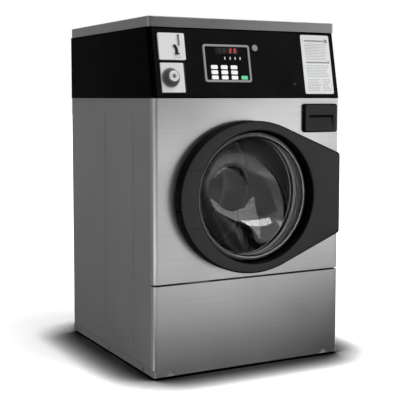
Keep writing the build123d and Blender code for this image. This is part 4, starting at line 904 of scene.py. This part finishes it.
# %% Glass bowl
glass_low, glass_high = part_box("door_glass")
glass_centre = ((glass_low.x + glass_high.x) / 2, (glass_low.z + glass_high.z) / 2)
flange_radius = (glass_high.x - glass_low.x) / 2
flange_front = glass_low.y
flange_thickness = 5 * MM
bowl_mouth = 192 * MM
bowl_end = 88 * MM
bowl_lift = 14 * MM
bowl_lean = 0.27
bowl_roundness = 1.1
end_left_open = 0.015
glass_thickness = 5 * MM
glass_steps = 144
bowl_steps = 22
bowl_depth = glass_high.y - flange_front - flange_thickness


def glass_ring(radius, y, rise=0, lean=0):
    """A ring round the door's centre, which may stand higher and lean forward at its foot."""
    return [(glass_centre[0] + radius * cosine, y - lean * radius * (1 - sine),
             glass_centre[1] + rise + radius * sine) for cosine, sine in circle(glass_steps)]


def bowl_ring(share, inset):
    """A ring of the bowl, from its mouth (share 0) to the edge of its flat end (share 1)."""
    bend = share * pi / 2
    deep = sin(bend) ** bowl_roundness
    radius = bowl_mouth + (bowl_end - bowl_mouth) * (1 - cos(bend)) - inset
    y = flange_front + flange_thickness + (bowl_depth - inset) * deep
    return glass_ring(radius, y, bowl_lift * deep, bowl_lean * deep)


def end_rings(ring, steps=4):
    """Rings that close a bowl's end, each drawn in towards the middle."""
    middle = sum((Vector(point) for point in ring), Vector()) / len(ring)
    closing = []
    for step in range(1, steps + 1):
        share = 1 - step / steps * (1 - end_left_open)
        closing.append([tuple(middle + (Vector(point) - middle) * share) for point in ring])
    return closing


def glass_bowl():
    """The bowl's outside and inside as one closed skin."""
    shares = [step / bowl_steps for step in range(bowl_steps + 1)]
    outside = [bowl_ring(share, 0) for share in shares]
    inside = [bowl_ring(share, glass_thickness) for share in shares]
    mouth = bowl_mouth - glass_thickness
    flange = ((bowl_mouth + 3 * MM, flange_thickness), (flange_radius - 1 * MM, flange_thickness),
              (flange_radius, flange_thickness - 1 * MM), (flange_radius, 1 * MM),
              (flange_radius - 1 * MM, 0), (mouth + 3 * MM, 0), (mouth + 0.5 * MM, 1.5 * MM))
    rings = end_rings(outside[-1])[::-1] + outside[::-1]
    rings += [glass_ring(radius, flange_front + depth) for radius, depth in flange]
    rings += inside + end_rings(inside[-1])
    return skin(rings, caps=True)


make_piece("glass_bowl", glass_bowl(), "clear_glass", "door", "door_glass", smooth=60)

# %% [markdown]
# ## The gasket
# A grey rubber bellows joins the still front panel to the tub, which shakes. Its front lip presses on the
# glass, and its folds take up the motion. The profile is turned into a ring.

# %% Gasket
gasket_low, gasket_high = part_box("door_gasket")
gasket_front = gasket_low.y


def gasket_profile():
    """The folded line of the bellows, as (radius, depth), front lip first."""
    line = [(204.5, 1.5), (206, 0.8), (209, 1.2), (212, 3.5), (212.5, 8), (210, 12), (207.5, 15),
            (206.5, 19), (208.5, 23), (213, 25.5), (219, 26.5), (222.5, 29), (223, 33), (220, 36.5),
            (214, 38), (209.5, 40), (207.5, 44), (208.5, 48.5), (212, 51.5), (217, 53), (221, 55.5),
            (223.5, 59), (224, 60.8)]
    return wall_of([(r * MM, gasket_front + y * MM) for r, y in line], 2.6 * MM)


gasket = make_piece("door_bellows", turned(gasket_profile(), round_drum, 128), "grey_rubber", None,
                    "door_gasket", smooth=60)
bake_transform(gasket)

# %% [markdown]
# ## The springs
# The tub hangs on four coil springs. Each is a helix of wire with a straight hook at each end.

# %% Springs
spring_low, spring_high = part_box("suspension_springs")
spring_inset = 14 * MM
spring_x = spring_high.x - spring_inset
spring_depths = (spring_low.y + spring_inset, spring_high.y - spring_inset)
coil_radius = 11 * MM
wire_radius = 2.4 * MM
spring_turns = 17
steps_in_turn = 14
hook_length = 26 * MM
hook_bend = 10 * MM
coil_lead = 4 * MM


def spring_path(x, y):
    """The line of one spring's wire, from its lower hook to its upper one."""
    low, high = spring_low.z + 3 * MM, spring_high.z - 3 * MM
    coil_low, coil_high = low + hook_length, high - hook_length
    lead_x = x + coil_radius * 0.6
    path = [(x, y, low), (x, y, coil_low - hook_bend), (lead_x, y, coil_low - coil_lead)]
    steps = spring_turns * steps_in_turn
    for step in range(steps + 1):
        angle = 2 * pi * step / steps_in_turn
        z = coil_low + (coil_high - coil_low) * step / steps
        path.append((x + coil_radius * cos(angle), y + coil_radius * sin(angle), z))
    path += [(lead_x, y, coil_high + coil_lead), (x, y, coil_high + hook_bend), (x, y, high)]
    return path


springs = joined(*[tube(spring_path(side * spring_x, y), wire_radius, 8) for side in (-1, 1)
                   for y in spring_depths])
coil_springs = make_piece("coil_springs", springs, "zinc_steel", None, "suspension_springs", smooth=60)
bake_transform(coil_springs)

# %% [markdown]
# ## The tub's hoses
# One hose brings water from the dispenser and one takes it to the pump. They are ribbed so that they can
# bend with the tub, and each end is held by a worm-drive clamp: a steel band with its screw housing.

# %% Tub hoses
hose_low, hose_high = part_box("tub_hoses")
hose_wall = 2 * MM
smooth_end = 16 * MM
ribs_start = 18 * MM
rib_pitch = 10 * MM
rib_root, rib_crown = 3 * MM, 0.6 * MM
clamp_place = 8 * MM
clamp_half, clamp_crown = 4 * MM, 0.9 * MM
screw_half, screw_radius = 6 * MM, 2.6 * MM


def round_hose(profile, x, y):
    """A closed profile of (radius, height) turned about an upright axis."""
    return turned(profile, lambda across, up, z: (x + across, y + up, z), 32)


def ribbed_hose(x, y, low, high, radius):
    """An upright hose with ribs between two smooth ends."""
    inner = radius - hose_wall
    line = [(inner, low), (inner, low + smooth_end)]
    ribs = max(1, int((high - low - 2 * ribs_start) / rib_pitch))
    pitch = (high - low - 2 * ribs_start) / ribs
    for rib in range(ribs):
        z = low + ribs_start + pitch * rib
        line += [(radius - rib_root, z), (radius - rib_crown, z + pitch * 0.3),
                 (radius - rib_crown, z + pitch * 0.6)]
    line += [(inner, high - smooth_end), (inner, high)]
    return round_hose(wall_of(line, hose_wall), x, y)


def hose_clamp(x, y, z, radius):
    """A steel band with its screw housing."""
    inner, outer = radius - hose_wall, radius - clamp_crown
    low, high = z - clamp_half, z + clamp_half
    front = y - radius + 1 * MM
    screw = tube([(x - screw_half, front, z), (x + screw_half, front, z)], screw_radius)
    return joined(round_hose([(inner, low), (outer, low), (outer, high), (inner, high)], x, y), screw)


for name, first, last, x, y, low, high, radius in (
        ("tray_hose", "tub", "cabinet", 296 * MM, front_y + 150 * MM, 640 * MM, hose_high.z, 14 * MM),
        ("drain_hose", "cabinet", "tub", 90 * MM, front_y + 300 * MM, hose_low.z, 246 * MM, 18 * MM)):
    hose = make_piece(name, ribbed_hose(x, y, low, high, radius), "black_rubber", None, "tub_hoses",
                      smooth=60)
    pair = [hose_clamp(x, y, z, radius) for z in (low + clamp_place, high - clamp_place)]
    clamps = make_piece(name + "_clamps", joined(*pair), "zinc_steel", None)
    for piece in (hose, clamps):
        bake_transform(piece)

# %% [markdown]
# ## The drive belt
# A flat belt with lengthwise ribs joins the motor's pulley to the drum's. Its line is two arcs with the
# straight runs between them, and its ribbed section is swept along that line.

# %% Drive belt
belt_low, belt_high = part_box("drive_belt")
motor_pulley_low, motor_pulley_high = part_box("motor_pulley")
belt_width = belt_high.y - belt_low.y
belt_thickness = 4 * MM
belt_ribs = 6
rib_depth = 1.4 * MM


def belt_path(thickness):
    """The belt's line round both pulleys, as points with the way outwards at each."""
    big = Vector((0, 0, axis_z))
    small = (motor_pulley_low + motor_pulley_high) / 2
    small.y = 0
    big_radius = belt_high.z - axis_z - thickness
    small_radius = small.z - belt_low.z - thickness
    run = small - big
    reach = run.length
    heading = atan2(run.z, run.x)
    lean = acos((big_radius - small_radius) / reach)
    path = []
    for centre, radius, start, sweep, steps in ((big, big_radius, heading + lean, 2 * pi - 2 * lean, 72),
                                                (small, small_radius, heading - lean, 2 * lean, 24)):
        for step in range(steps + 1):
            angle = start + sweep * step / steps
            outwards = Vector((cos(angle), 0, sin(angle)))
            path.append((centre + outwards * radius, outwards))
    return path


def ribbed_belt():
    """A flat belt with lengthwise ribs on its inner face."""
    middle = (belt_low.y + belt_high.y) / 2
    section = [(-belt_width / 2, belt_thickness), (-belt_width / 2, rib_depth)]
    for rib in range(belt_ribs):
        start = -belt_width / 2 + belt_width * rib / belt_ribs
        pitch = belt_width / belt_ribs
        section += [(start + pitch * 0.3, 0), (start + pitch * 0.7, 0), (start + pitch, rib_depth)]
    section.append((belt_width / 2, belt_thickness))
    rings = []
    for place, outwards in belt_path(belt_thickness):
        rings.append([(place.x + outwards.x * out, middle + across, place.z + outwards.z * out)
                      for across, out in section])
    return skin(rings, along=True)


make_piece("ribbed_belt", ribbed_belt(), "black_rubber", "tub", "drive_belt", smooth=30)

# %% [markdown]
# ## The sloped fascia
# Everything on the fascia is placed in the fascia's own directions: u runs to the right from the hood's
# left edge, v runs up the slope and w stands out of it, all in millimetres. A helper turns them into a
# point of the machine, so the details are thought of as they are on a drawing of the panel.

# %% Fascia directions
fascia_corner = Vector((-half_width, front_y, hood_bottom))
slope_back = 43 * MM
slope_run = Vector((0, slope_back, hood_top - hood_bottom)).normalized()
slope_out = Vector((0, -slope_run.z, slope_run.y))
fascia_skin = 2.0
window_top = fascia_skin + 0.4


def on_fascia(u, v, w):
    """The machine's point at this place of the fascia, in millimetres."""
    return tuple(fascia_corner + Vector((u * MM, 0, 0)) + slope_run * (v * MM) + slope_out * (w * MM))


def rounded_outline(u0, u1, v0, v1, corner, steps=5):
    """The corners of a rounded rectangle, counter-clockwise."""
    outline = []
    for cu, cv, start in ((u1 - corner, v1 - corner, 0), (u0 + corner, v1 - corner, 90),
                          (u0 + corner, v0 + corner, 180), (u1 - corner, v0 + corner, 270)):
        outline += arc(start, start + 90, (cu, cv), corner, steps)
    return outline


def fascia_plate(u0, u1, v0, v1, low, top, corner, edge=0.3):
    """A small plate on the fascia with rounded corners and a soft upper edge."""
    rings = []
    for inset, w in ((0, low), (0, top - edge), (edge * 0.3, top - edge * 0.3), (edge, top)):
        outline = rounded_outline(u0 + inset, u1 - inset, v0 + inset, v1 - inset, max(corner - inset, 0.1))
        rings.append([on_fascia(u, v, w) for u, v in outline])
    return skin(rings, caps=True)


def fascia_frame(outer, inner, low, top, corner, edge):
    """A raised frame: outer and inner are (u0, u1, v0, v1), with both upper edges rounded."""
    rings = []
    for sign, (u0, u1, v0, v1), radius in ((1, outer, corner), (-1, inner, corner * 0.6)):
        levels = ((0, low), (0, top - edge), (edge * 0.3, top - edge * 0.3), (edge, top))
        for inset, w in levels if sign == 1 else levels[::-1]:
            move = inset * sign
            outline = rounded_outline(u0 + move, u1 - move, v0 + move, v1 - move, max(radius - move, 0.2))
            rings.append([on_fascia(u, v, w) for u, v in outline])
    return skin(rings, along=True)


def fascia_turned(u, v, profile, steps):
    """A closed profile of (radius, w) turned about an axis that stands on the fascia."""
    return turned(profile, lambda across, up, w: on_fascia(u + across, v + up, w), steps)


print("fascia from", tuple(fascia_corner), "up", tuple(slope_run))

# %% [markdown]
# ## The display
# Behind a dark window stand four seven-segment digits, and two of them are lit red. Every segment is a
# little raised bar. The lit ones glow, and the others are a shade lighter than the window.

# %% Lit and unlit segments
segment_bars = {"a": (0, 1, 1), "b": (1, 0.5, 0), "c": (1, -0.5, 0), "d": (0, -1, 1), "e": (-1, -0.5, 0),
                "f": (-1, 0.5, 0), "g": (0, 0, 1)}
lit_segments = {"2": "abdeg", "0": "abcdef", " ": ""}
digit_width = 5.4
digit_height = 12.0
bar_width = 1.5
display_v = 150.5
display_us = (240.0, 256.0, 279.0, 295.0)
display_digits = "  20"


def segment_shape(u, v, name):
    """One bar of a seven-segment digit."""
    across, up, flat = segment_bars[name]
    cu, cv = u + across * digit_width / 2, v + up * digit_height / 2
    half_long = (digit_width / 2 if flat else digit_height / 4) - bar_width * 0.35
    half_u, half_v = (half_long, bar_width / 2) if flat else (bar_width / 2, half_long)
    return fascia_plate(cu - half_u, cu + half_u, cv - half_v, cv + half_v, window_top, window_top + 0.35,
                        0.6, 0.1)


lit, unlit = [], []
for u, digit in zip(display_us, display_digits):
    for name in segment_bars:
        (lit if name in lit_segments[digit] else unlit).append(segment_shape(u, display_v, name))
make_piece("lit_segments", joined(*lit), "segment_red", "cabinet", None, "display_dark")
make_piece("unlit_segments", joined(*unlit), "segment_dim", "cabinet", None, "display_dark")

# %% [markdown]
# ## The window and the lenses
# The window is one plate of smoked plastic and the four marks under it are small pale lenses. The port on
# the right is a turned rim with a low dome in it, as an infrared window has.

# %% Window, marks and port lens
mark_us = (257, 276, 294, 312)
mark_half = 1.7
port_place = (369, 161.5)
window = fascia_plate(225, 306.5, 140.5, 160.5, 0, window_top, 0.8)
make_piece("display_window", window, "display_dark", "cabinet", "panel_lenses")
marks = [fascia_plate(u - mark_half, u + mark_half, 122, 131, 0, fascia_skin + 0.5, 0.8) for u in mark_us]
make_piece("mark_lenses", joined(*marks), "mark_white", "cabinet", "panel_lenses", "display_dark")
for name, profile, smooth in (
        ("port_rim", [(10.5, -2), (10.5, 1.6), (9.9, 2.3), (9.0, 2.3), (8.2, 1.5), (8.0, -2)], 35),
        ("port_dome", [(7.9, -2), (7.9, 1.2), (6.2, 1.9), (3.5, 2.2), (0.05, 2.3), (0.05, -2)], 60)):
    profile = [(radius, fascia_skin + w) for radius, w in profile]
    make_piece(name, fascia_turned(*port_place, profile, 40), "lens_grey", "cabinet", "panel_lenses",
               "display_dark", smooth)

# %% [markdown]
# ## The instruction plate
# The real plate is printed with instructions. This one carries no words: only grey bars for headings and
# thin broken lines where the text would be, each a raised film of ink.

# %% Printed lines
plate_low, plate_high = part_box("instruction_plate")
plate_u0 = (plate_low.x + half_width) / MM
plate_u1 = (plate_high.x + half_width) / MM
plate_top = fascia_skin + 0.8
ink = 0.06
line_pitch = 5.2
line_half = 0.95
word_gap = 1.9
shortest_word, word_spread = 5, 6.5


def ink_bar(u0, u1, v0, v1):
    """One printed bar."""
    return fascia_plate(u0, u1, v0, v1, plate_top - 0.02, plate_top + ink, 0.3, 0.02)


def broken_line(u0, u1, v, number):
    """A line of bars of uneven length, like words seen from afar."""
    bars = []
    u = u0
    word = 0
    while u < u1 - 3:
        length = shortest_word + word_spread * abs(sin(12.9 * number + 7.3 * word))
        end = min(u + length, u1)
        bars.append(ink_bar(u, end, v - line_half, v + line_half))
        u = end + word_gap
        word += 1
    return bars


heading_bars = ((plate_u0 + 13, plate_u1 - 22, 188, 193), (plate_u1 - 20, plate_u1 - 8, 185, 196),
                (plate_u0 + 13, plate_u1 - 16, 116, 121), (plate_u1 - 14, plate_u1 - 7, 115, 124))
text_blocks = ((180, 128, 13, 10), (108, 70, 13, 10), (62, 22, 13, 46), (62, 22, 72, 9))
lines = []
number = 0
for top, bottom, left, right in text_blocks:
    v = top
    while v > bottom:
        lines += broken_line(plate_u0 + left, plate_u1 - right - 8 * abs(sin(3.7 * number)), v, number)
        number += 1
        v -= line_pitch
headings = [ink_bar(*bar) for bar in heading_bars]
make_piece("plate_headings", joined(*headings), "print_grey", "cabinet", None, "label_grey", 0)
make_piece("plate_lines", joined(*lines), "print_light", "cabinet", None, "label_grey", 0)

# %% [markdown]
# ## The coin unit
# The lower plate is the coin box's thick front, with a round lock in a dark collar. The upper plate has the
# coin slot in a raised boss, lined in near-black as painted shade, and a bent lever that frees a stuck coin.

# %% Lock collar and face
lock_u, lock_v = 59, 61
box_top = 9.3
barrel_top = 35.3
lock_turnings = (
    ("lock_collar", "collar_grey", "coin_box", "coin_steel", 72, box_top,
     [(18.9, 0), (18.9, 6.5), (20.4, 6.5), (28.4, 4.6), (29.9, 3.2), (29.9, 0)]),
    ("lock_sleeve", "collar_grey", "vault_lock", "lock_chrome", 72, barrel_top,
     [(18.5, -25.7), (18.8, -25.7), (18.8, -1.6), (17.6, 0.2), (16.4, 0.2), (16.4, 0.05), (17.4, -0.1)]),
    ("lock_face", "lock_satin", "vault_lock", "lock_chrome", 48, barrel_top,
     [(6.8, 0), (6.8, 0.25), (7.6, 0.5), (15.6, 0.5), (16.3, 0.2), (16.3, 0)]),
    ("lock_core", "lens_grey", "vault_lock", "lock_chrome", 32, barrel_top,
     [(0.05, 0), (0.05, 0.1), (6.3, 0.1), (6.3, 0)]),
)
for name, finish, body, slot, steps, base, profile in lock_turnings:
    profile = [(radius, base + w) for radius, w in profile]
    make_piece(name, fascia_turned(lock_u, lock_v, profile, steps), finish, body, None, slot)
# The keyway is a near-black plate on the lock's face: painted shade in place of the keyway's hole.
keyway = fascia_plate(lock_u - 1.5, lock_u + 1.5, lock_v - 4.5, lock_v + 4.5, barrel_top, barrel_top + 0.2,
                      0.8, 0.1)
make_piece("lock_keyway", keyway, "slot_shade_black", "vault_lock", None, "lock_chrome")

# %% [markdown]
# ## The slot and the return lever
# A near-black frame lines the coin slot: painted shade, for the dark of the opening. The lever is a bent
# flat bar with a foot to push down on, painted near-black for the lever and the shade round it: its line is
# given as points on the plate, and its edges are broken as a casting's are. Its foot stands high enough to
# pass over the ledge when it is pushed down.

# %% Slot liner and return lever
slot_u, slot_v0, slot_v1 = 96, 162, 195
boss_top = 10.5
plate_face = 8.0
broken_edge = 0.6
liner = fascia_frame((slot_u - 3, slot_u + 3, slot_v0 - 1, slot_v1 + 1),
                     (slot_u - 1.6, slot_u + 1.6, slot_v0, slot_v1), boss_top - 0.2, boss_top + 0.3, 2, 0.2)
make_piece("slot_liner", liner, "slot_shade_black", "cabinet", None, "coin_steel")


def lever_bar(line, width, low, top):
    """A flat bent bar along (u, v) points, lying between two heights over the fascia."""
    rings = []
    for number, (u, v) in enumerate(line):
        before, after = line[max(number - 1, 0)], line[min(number + 1, len(line) - 1)]
        heading = Vector((after[0] - before[0], after[1] - before[1])).normalized()
        side = Vector((-heading.y, heading.x)) * (width / 2)
        edge = top - broken_edge
        corners = ((1, low), (1, edge), (0.7, top), (-0.7, top), (-1, edge), (-1, low))
        rings.append([on_fascia(u + side.x * share, v + side.y * share, w) for share, w in corners])
    return skin(rings, caps=True)


lever_line = [(79, 163), (80.5, 160), (83.5, 156.5), (86.5, 152.5), (88, 148), (88, 142), (87.6, 136.9)]
foot_line = [(80, 135.6), (88, 135.2), (96, 135.6)]
lever = joined(lever_bar(lever_line, 6.4, plate_face + 0.3, plate_face + 5),
               lever_bar(foot_line, 4.4, boss_top + 0.3, boss_top + 2.2))
make_piece("return_lever", lever, "slot_shade_black", "coin_return_lever", "coin_return_lever", "lock_chrome")

# %% [markdown]
# ## The drawer front
# The detergent drawer's front is a moulded shell with a rounded border, painted black as the shadow
# of the gap round the drawer, and a field that stands a little proud of it. Fingers hook under a deep
# slot at the top of a sloped recess, and the slot is painted black as its shade.

# %% Drawer front
drawer_low, drawer_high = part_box("drawer_front")
drawer_left, drawer_right = drawer_low.x, drawer_high.x - 4 * MM
drawer_bottom, drawer_top = drawer_low.z + 1 * MM, drawer_high.z + 3 * MM
drawer_middle = ((drawer_left + drawer_right) / 2, (drawer_bottom + drawer_top) / 2)
drawer_half = ((drawer_right - drawer_left) / 2 / MM, (drawer_top - drawer_bottom) / 2 / MM)
drawer_face = (drawer_high.y - drawer_low.y) / MM
grip_half = 48.5
grip_top, grip_bottom = 10, -36
grip_depth = 7
grip_arch = 2
slot_half = grip_half - 1.5


def on_drawer(across, up, out):
    """The machine's point at this place of the drawer front, in millimetres from its middle."""
    return drawer_middle[0] + across * MM, drawer_high.y - out * MM, drawer_middle[1] + up * MM


def drawer_ring(inset, out, corner):
    """A rounded rectangle of the drawer front, drawn in by an inset."""
    half_u, half_v = drawer_half[0] - inset, drawer_half[1] - inset
    return [on_drawer(u, v, out) for u, v in rounded_outline(-half_u, half_u, -half_v, half_v, corner)]


def arch_at(u):
    """How far the recess's top rises over its ends here."""
    return grip_arch * (1 - (u / grip_half) ** 2)


def grip_ring(inset, sunk, corner):
    """A ring of the finger recess, whose floor slopes from the bottom to its deepest at the top."""
    ring = []
    low, high = grip_bottom + inset, grip_top - inset
    for u, v in rounded_outline(inset - grip_half, grip_half - inset, low, high, corner):
        depth = sunk * (0.06 + 0.94 * (v - grip_bottom) / (grip_top - grip_bottom))
        ring.append(on_drawer(u, v + arch_at(u) * (v > 0), drawer_face - depth))
    return ring


border_rings = [drawer_ring(*ring) for ring in (
    (0, 0, 9), (0, drawer_face - 3, 9), (1, drawer_face - 1.4, 8), (3.4, drawer_face - 1.2, 6), (3.4, 0, 6))]
# The border is painted black: the shadow of the gap round the drawer.
make_piece("drawer_shadow_border", skin(border_rings, along=True), "painted_shade_and_seam_black", "drawer", "drawer_front",
           "drawer_plastic")
field_rings = [drawer_ring(*ring) for ring in (
    (3.6, 0.2, 6), (3.6, drawer_face - 0.9, 6), (4.4, drawer_face - 0.2, 5.4), (6, drawer_face, 5))]
field_rings += [grip_ring(*ring) for ring in ((0, 0, 3), (0.6, 0.5, 3), (1, grip_depth, 3))]
make_piece("drawer_field", skin(field_rings, caps=True), "drawer_plastic", "drawer", "drawer_front")


def slot_ring(inset, lift):
    """A ring of the slot along the recess's arched top, painted black for its shade."""
    low, high = grip_top - 8 + inset, grip_top - 1.2 - inset
    outline = rounded_outline(inset - slot_half, slot_half - inset, low, high, 2.5)
    return [on_drawer(u, v + arch_at(u), drawer_face - grip_depth + lift) for u, v in outline]


# The slot is painted black: the shade under the recess's lip.
slot_rings = [slot_ring(*ring) for ring in ((0, 0), (0, 2.2), (0.8, 2.6))]
make_piece("drawer_slot", skin(slot_rings, caps=True), "painted_shade_and_seam_black", "drawer", None, "drawer_plastic")

# %% [markdown]
# ## The door's shell
# The door is a moulded shell, 3 mm thick and open at the back: an oval ring, drawn out on the right to a
# wedge that one pulls it by. The oval is a little narrower than it looks at first, since its outer wall,
# painted black as shade, is seen too. The wall, the face and the mouth are swept along the outline as three
# skins, so each has its own finish; the wall and the mouth are painted near-black as shade. The wall has
# two notches, for the hinge's ears to pass as the door opens.

# %% Door outline
ring_centre = -9 * MM
ring_half_width = 264 * MM
ring_half_height = 240 * MM
wedge_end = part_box("door_frame")[1].x
wedge_half_height = 130.5 * MM
wedge_corner = 10 * MM
oval_steps = 132
line_steps = 14
notch_heights = (-35 * MM, -28 * MM, 28 * MM, 35 * MM)
nearest_turn = 0.008


def round_corner(before, corner, after, radius, steps=6):
    """Points of the arc that rounds a corner between two straight lines."""
    corner, back, on = Vector(corner), Vector(before) - Vector(corner), Vector(after) - Vector(corner)
    half = back.angle(on) / 2
    start = corner + back.normalized() * (radius / tan(half))
    end = corner + on.normalized() * (radius / tan(half))
    centre = corner + (back.normalized() + on.normalized()).normalized() * (radius / sin(half))
    points = []
    for step in range(steps + 1):
        way = (start - centre).lerp(end - centre, step / steps).normalized()
        points.append(tuple(centre + way * radius))
    return points


def straight(start, end, steps):
    """Points of a line, without its two ends."""
    return [tuple(Vector(start).lerp(Vector(end), step / steps)) for step in range(1, steps)]


def door_outline(inset):
    """The outline as (x, height over the axis), drawn in by an inset: oval, lower line, end, upper line."""
    across, up = ring_half_width - inset, ring_half_height - inset
    end, rise = wedge_end - ring_centre - inset, wedge_half_height - inset
    turn = atan2(rise / up, end / across) + acos(1 / hypot(end / across, rise / up))
    turns = [turn + (2 * pi - 2 * turn) * step / oval_steps for step in range(oval_steps + 1)]
    notches = [pi - asin(height / ring_half_height) for height in notch_heights]
    turns = sorted([t for t in turns if min(abs(t - notch) for notch in notches) > nearest_turn] + notches)
    oval = [(across * cos(t), up * sin(t)) for t in turns]
    low, high = (end, -rise), (end, rise)
    radius = max(wedge_corner - inset, 1 * MM)
    low_arc = round_corner(oval[-1], low, high, radius)
    high_arc = round_corner(low, high, oval[0], radius)
    outline = oval + straight(oval[-1], low_arc[0], line_steps) + low_arc
    outline += straight(low_arc[-1], high_arc[0], line_steps) + high_arc
    outline += straight(high_arc[-1], oval[0], line_steps)
    return [(ring_centre + x, z) for x, z in outline]


print("door outline of", len(door_outline(0)), "points")

# %% [markdown]
# ## The shell's walls
# Each skin is a closed section swept along the outline. A corner of a section is (kind, size, out): an
# "edge" corner lies on the outline drawn in by the size, a "mouth" corner on a circle of that radius, and
# out is how far it stands before the flat front panel. All are in millimetres. Posts at the back take the
# screws of the glass retainer and of the hinge.

# %% Door shell
door_mouth = 208
door_face_out = 42
door_notch_top = 38.6
screw_ring_radius = 222 * MM
screw_count = 6
hinge_screw_x = -235 * MM
hinge_screw_heights = (-15 * MM, 15 * MM)
post_radius = 5.5 * MM
outlines = {}


def door_outline_of(inset):
    """The outline at this inset in millimetres, worked out once."""
    if inset not in outlines:
        outlines[inset] = door_outline(inset * MM)
    return outlines[inset]


def door_point(number, kind, size, out):
    """A corner of the shell at this point of the outline."""
    if kind == "mouth":
        x, z = door_outline_of(0)[number]
        reach = hypot(x, z)
        x, z = x / reach * size * MM, z / reach * size * MM
    else:
        x, z = door_outline_of(size)[number]
    return x, front_y - out * MM, axis_z + z


def swept(profile, numbers, closed=False):
    """A closed profile swept along these points of the outline."""
    rings = [[door_point(number, *corner) for corner in profile] for number in numbers]
    return skin(rings, along=closed, caps=not closed)


def post(x, height, first, last):
    """A screw post between two distances before the front panel."""
    z = axis_z + height
    return tube([(x, front_y - first * MM, z), (x, front_y - last * MM, z)], post_radius, 20)


whole = range(len(door_outline_of(0)))
face_profile = [("edge", 3.2, 39), ("edge", 3.4, 40.8), ("edge", 4.6, 41.7), ("edge", 7, door_face_out),
                ("mouth", 216.5, door_face_out), ("mouth", 213, 41.6), ("mouth", 211.2, 40.4),
                ("mouth", 211.2, 39)]
wall_rim = [("edge", 0.9, 39.8), ("edge", 2.2, 40.6), ("edge", 3.1, 40.7)]
wall_profile = [("edge", 0, 2), ("edge", 0, 37.4)] + wall_rim + [("edge", 3, 2)]
notched_profile = [("edge", 0, door_notch_top)] + wall_rim + [("edge", 3, door_notch_top)]
mouth_profile = [("mouth", 211.1, 40.4), ("mouth", 209.4, 39.6), ("mouth", 208.3, 37.6),
                 ("mouth", door_mouth, 34), ("mouth", door_mouth, 13.5), ("mouth", 210.6, 13.5)]
left_side = [number for number in whole if door_outline_of(0)[number][0] < ring_centre]
cuts = []
for height in notch_heights[::-1]:
    cuts.append(min(left_side, key=lambda number: abs(door_outline_of(0)[number][1] - height)))
wall_parts = [swept(wall_profile, list(range(cuts[3], len(whole))) + list(range(cuts[0] + 1))),
              swept(wall_profile, range(cuts[1], cuts[2] + 1)),
              swept(notched_profile, range(cuts[0], cuts[1] + 1)),
              swept(notched_profile, range(cuts[2], cuts[3] + 1))]
posts = []
for step in range(screw_count):
    angle = 2 * pi * (step + 0.5) / screw_count
    posts.append(post(screw_ring_radius * cos(angle), screw_ring_radius * sin(angle), 8, 40))
for height in hinge_screw_heights:
    posts.append(post(hinge_screw_x, height, 19, 40))
# The outer wall and the mouth are painted near-black: shade where the shell turns away from the front.
for name, shape, finish, smooth in (("door_face", swept(face_profile, whole, True), "door_plastic", 30),
                                    ("door_mouth_wall", swept(mouth_profile, whole, True), "painted_shade_and_seam_black", 35),
                                    ("door_outer_wall", joined(*wall_parts), "painted_shade_and_seam_black", 35),
                                    ("door_posts", joined(*posts), "door_plastic", 35)):
    make_piece(name, shape, finish, "door", "door_frame", "door_plastic", smooth)

# %% [markdown]
# ## The hinge cover's seams
# On the left of the ring a separate cover hides the hinge's screws. Only its two joints with the ring show,
# as fine dark lines, so each is a thin strip from the mouth to the rim.

# %% Hinge cover seams
seam_heights = (92 * MM, -86 * MM)
seam_width = 1.2 * MM
seam_start = 217 * MM
seam_inset = 7 * MM
seam_low, seam_face = front_y - (door_face_out - 0.1) * MM, front_y - (door_face_out + 0.04) * MM
seams = []
for height in seam_heights:
    inner = -sqrt(seam_start ** 2 - height ** 2)
    share = height / (ring_half_height - seam_inset)
    outer = ring_centre - (ring_half_width - seam_inset) * sqrt(1 - share ** 2)
    below = [(outer, seam_low), (outer, seam_face), (inner, seam_face), (inner, seam_low)]
    rings = [[(x, y, axis_z + height + lift) for x, y in below] for lift in (0, seam_width)]
    seams.append(skin(rings, caps=True))
make_piece("hinge_cover_seams", joined(*seams), "painted_shade_and_seam_black", "door", None, "door_plastic", 0)
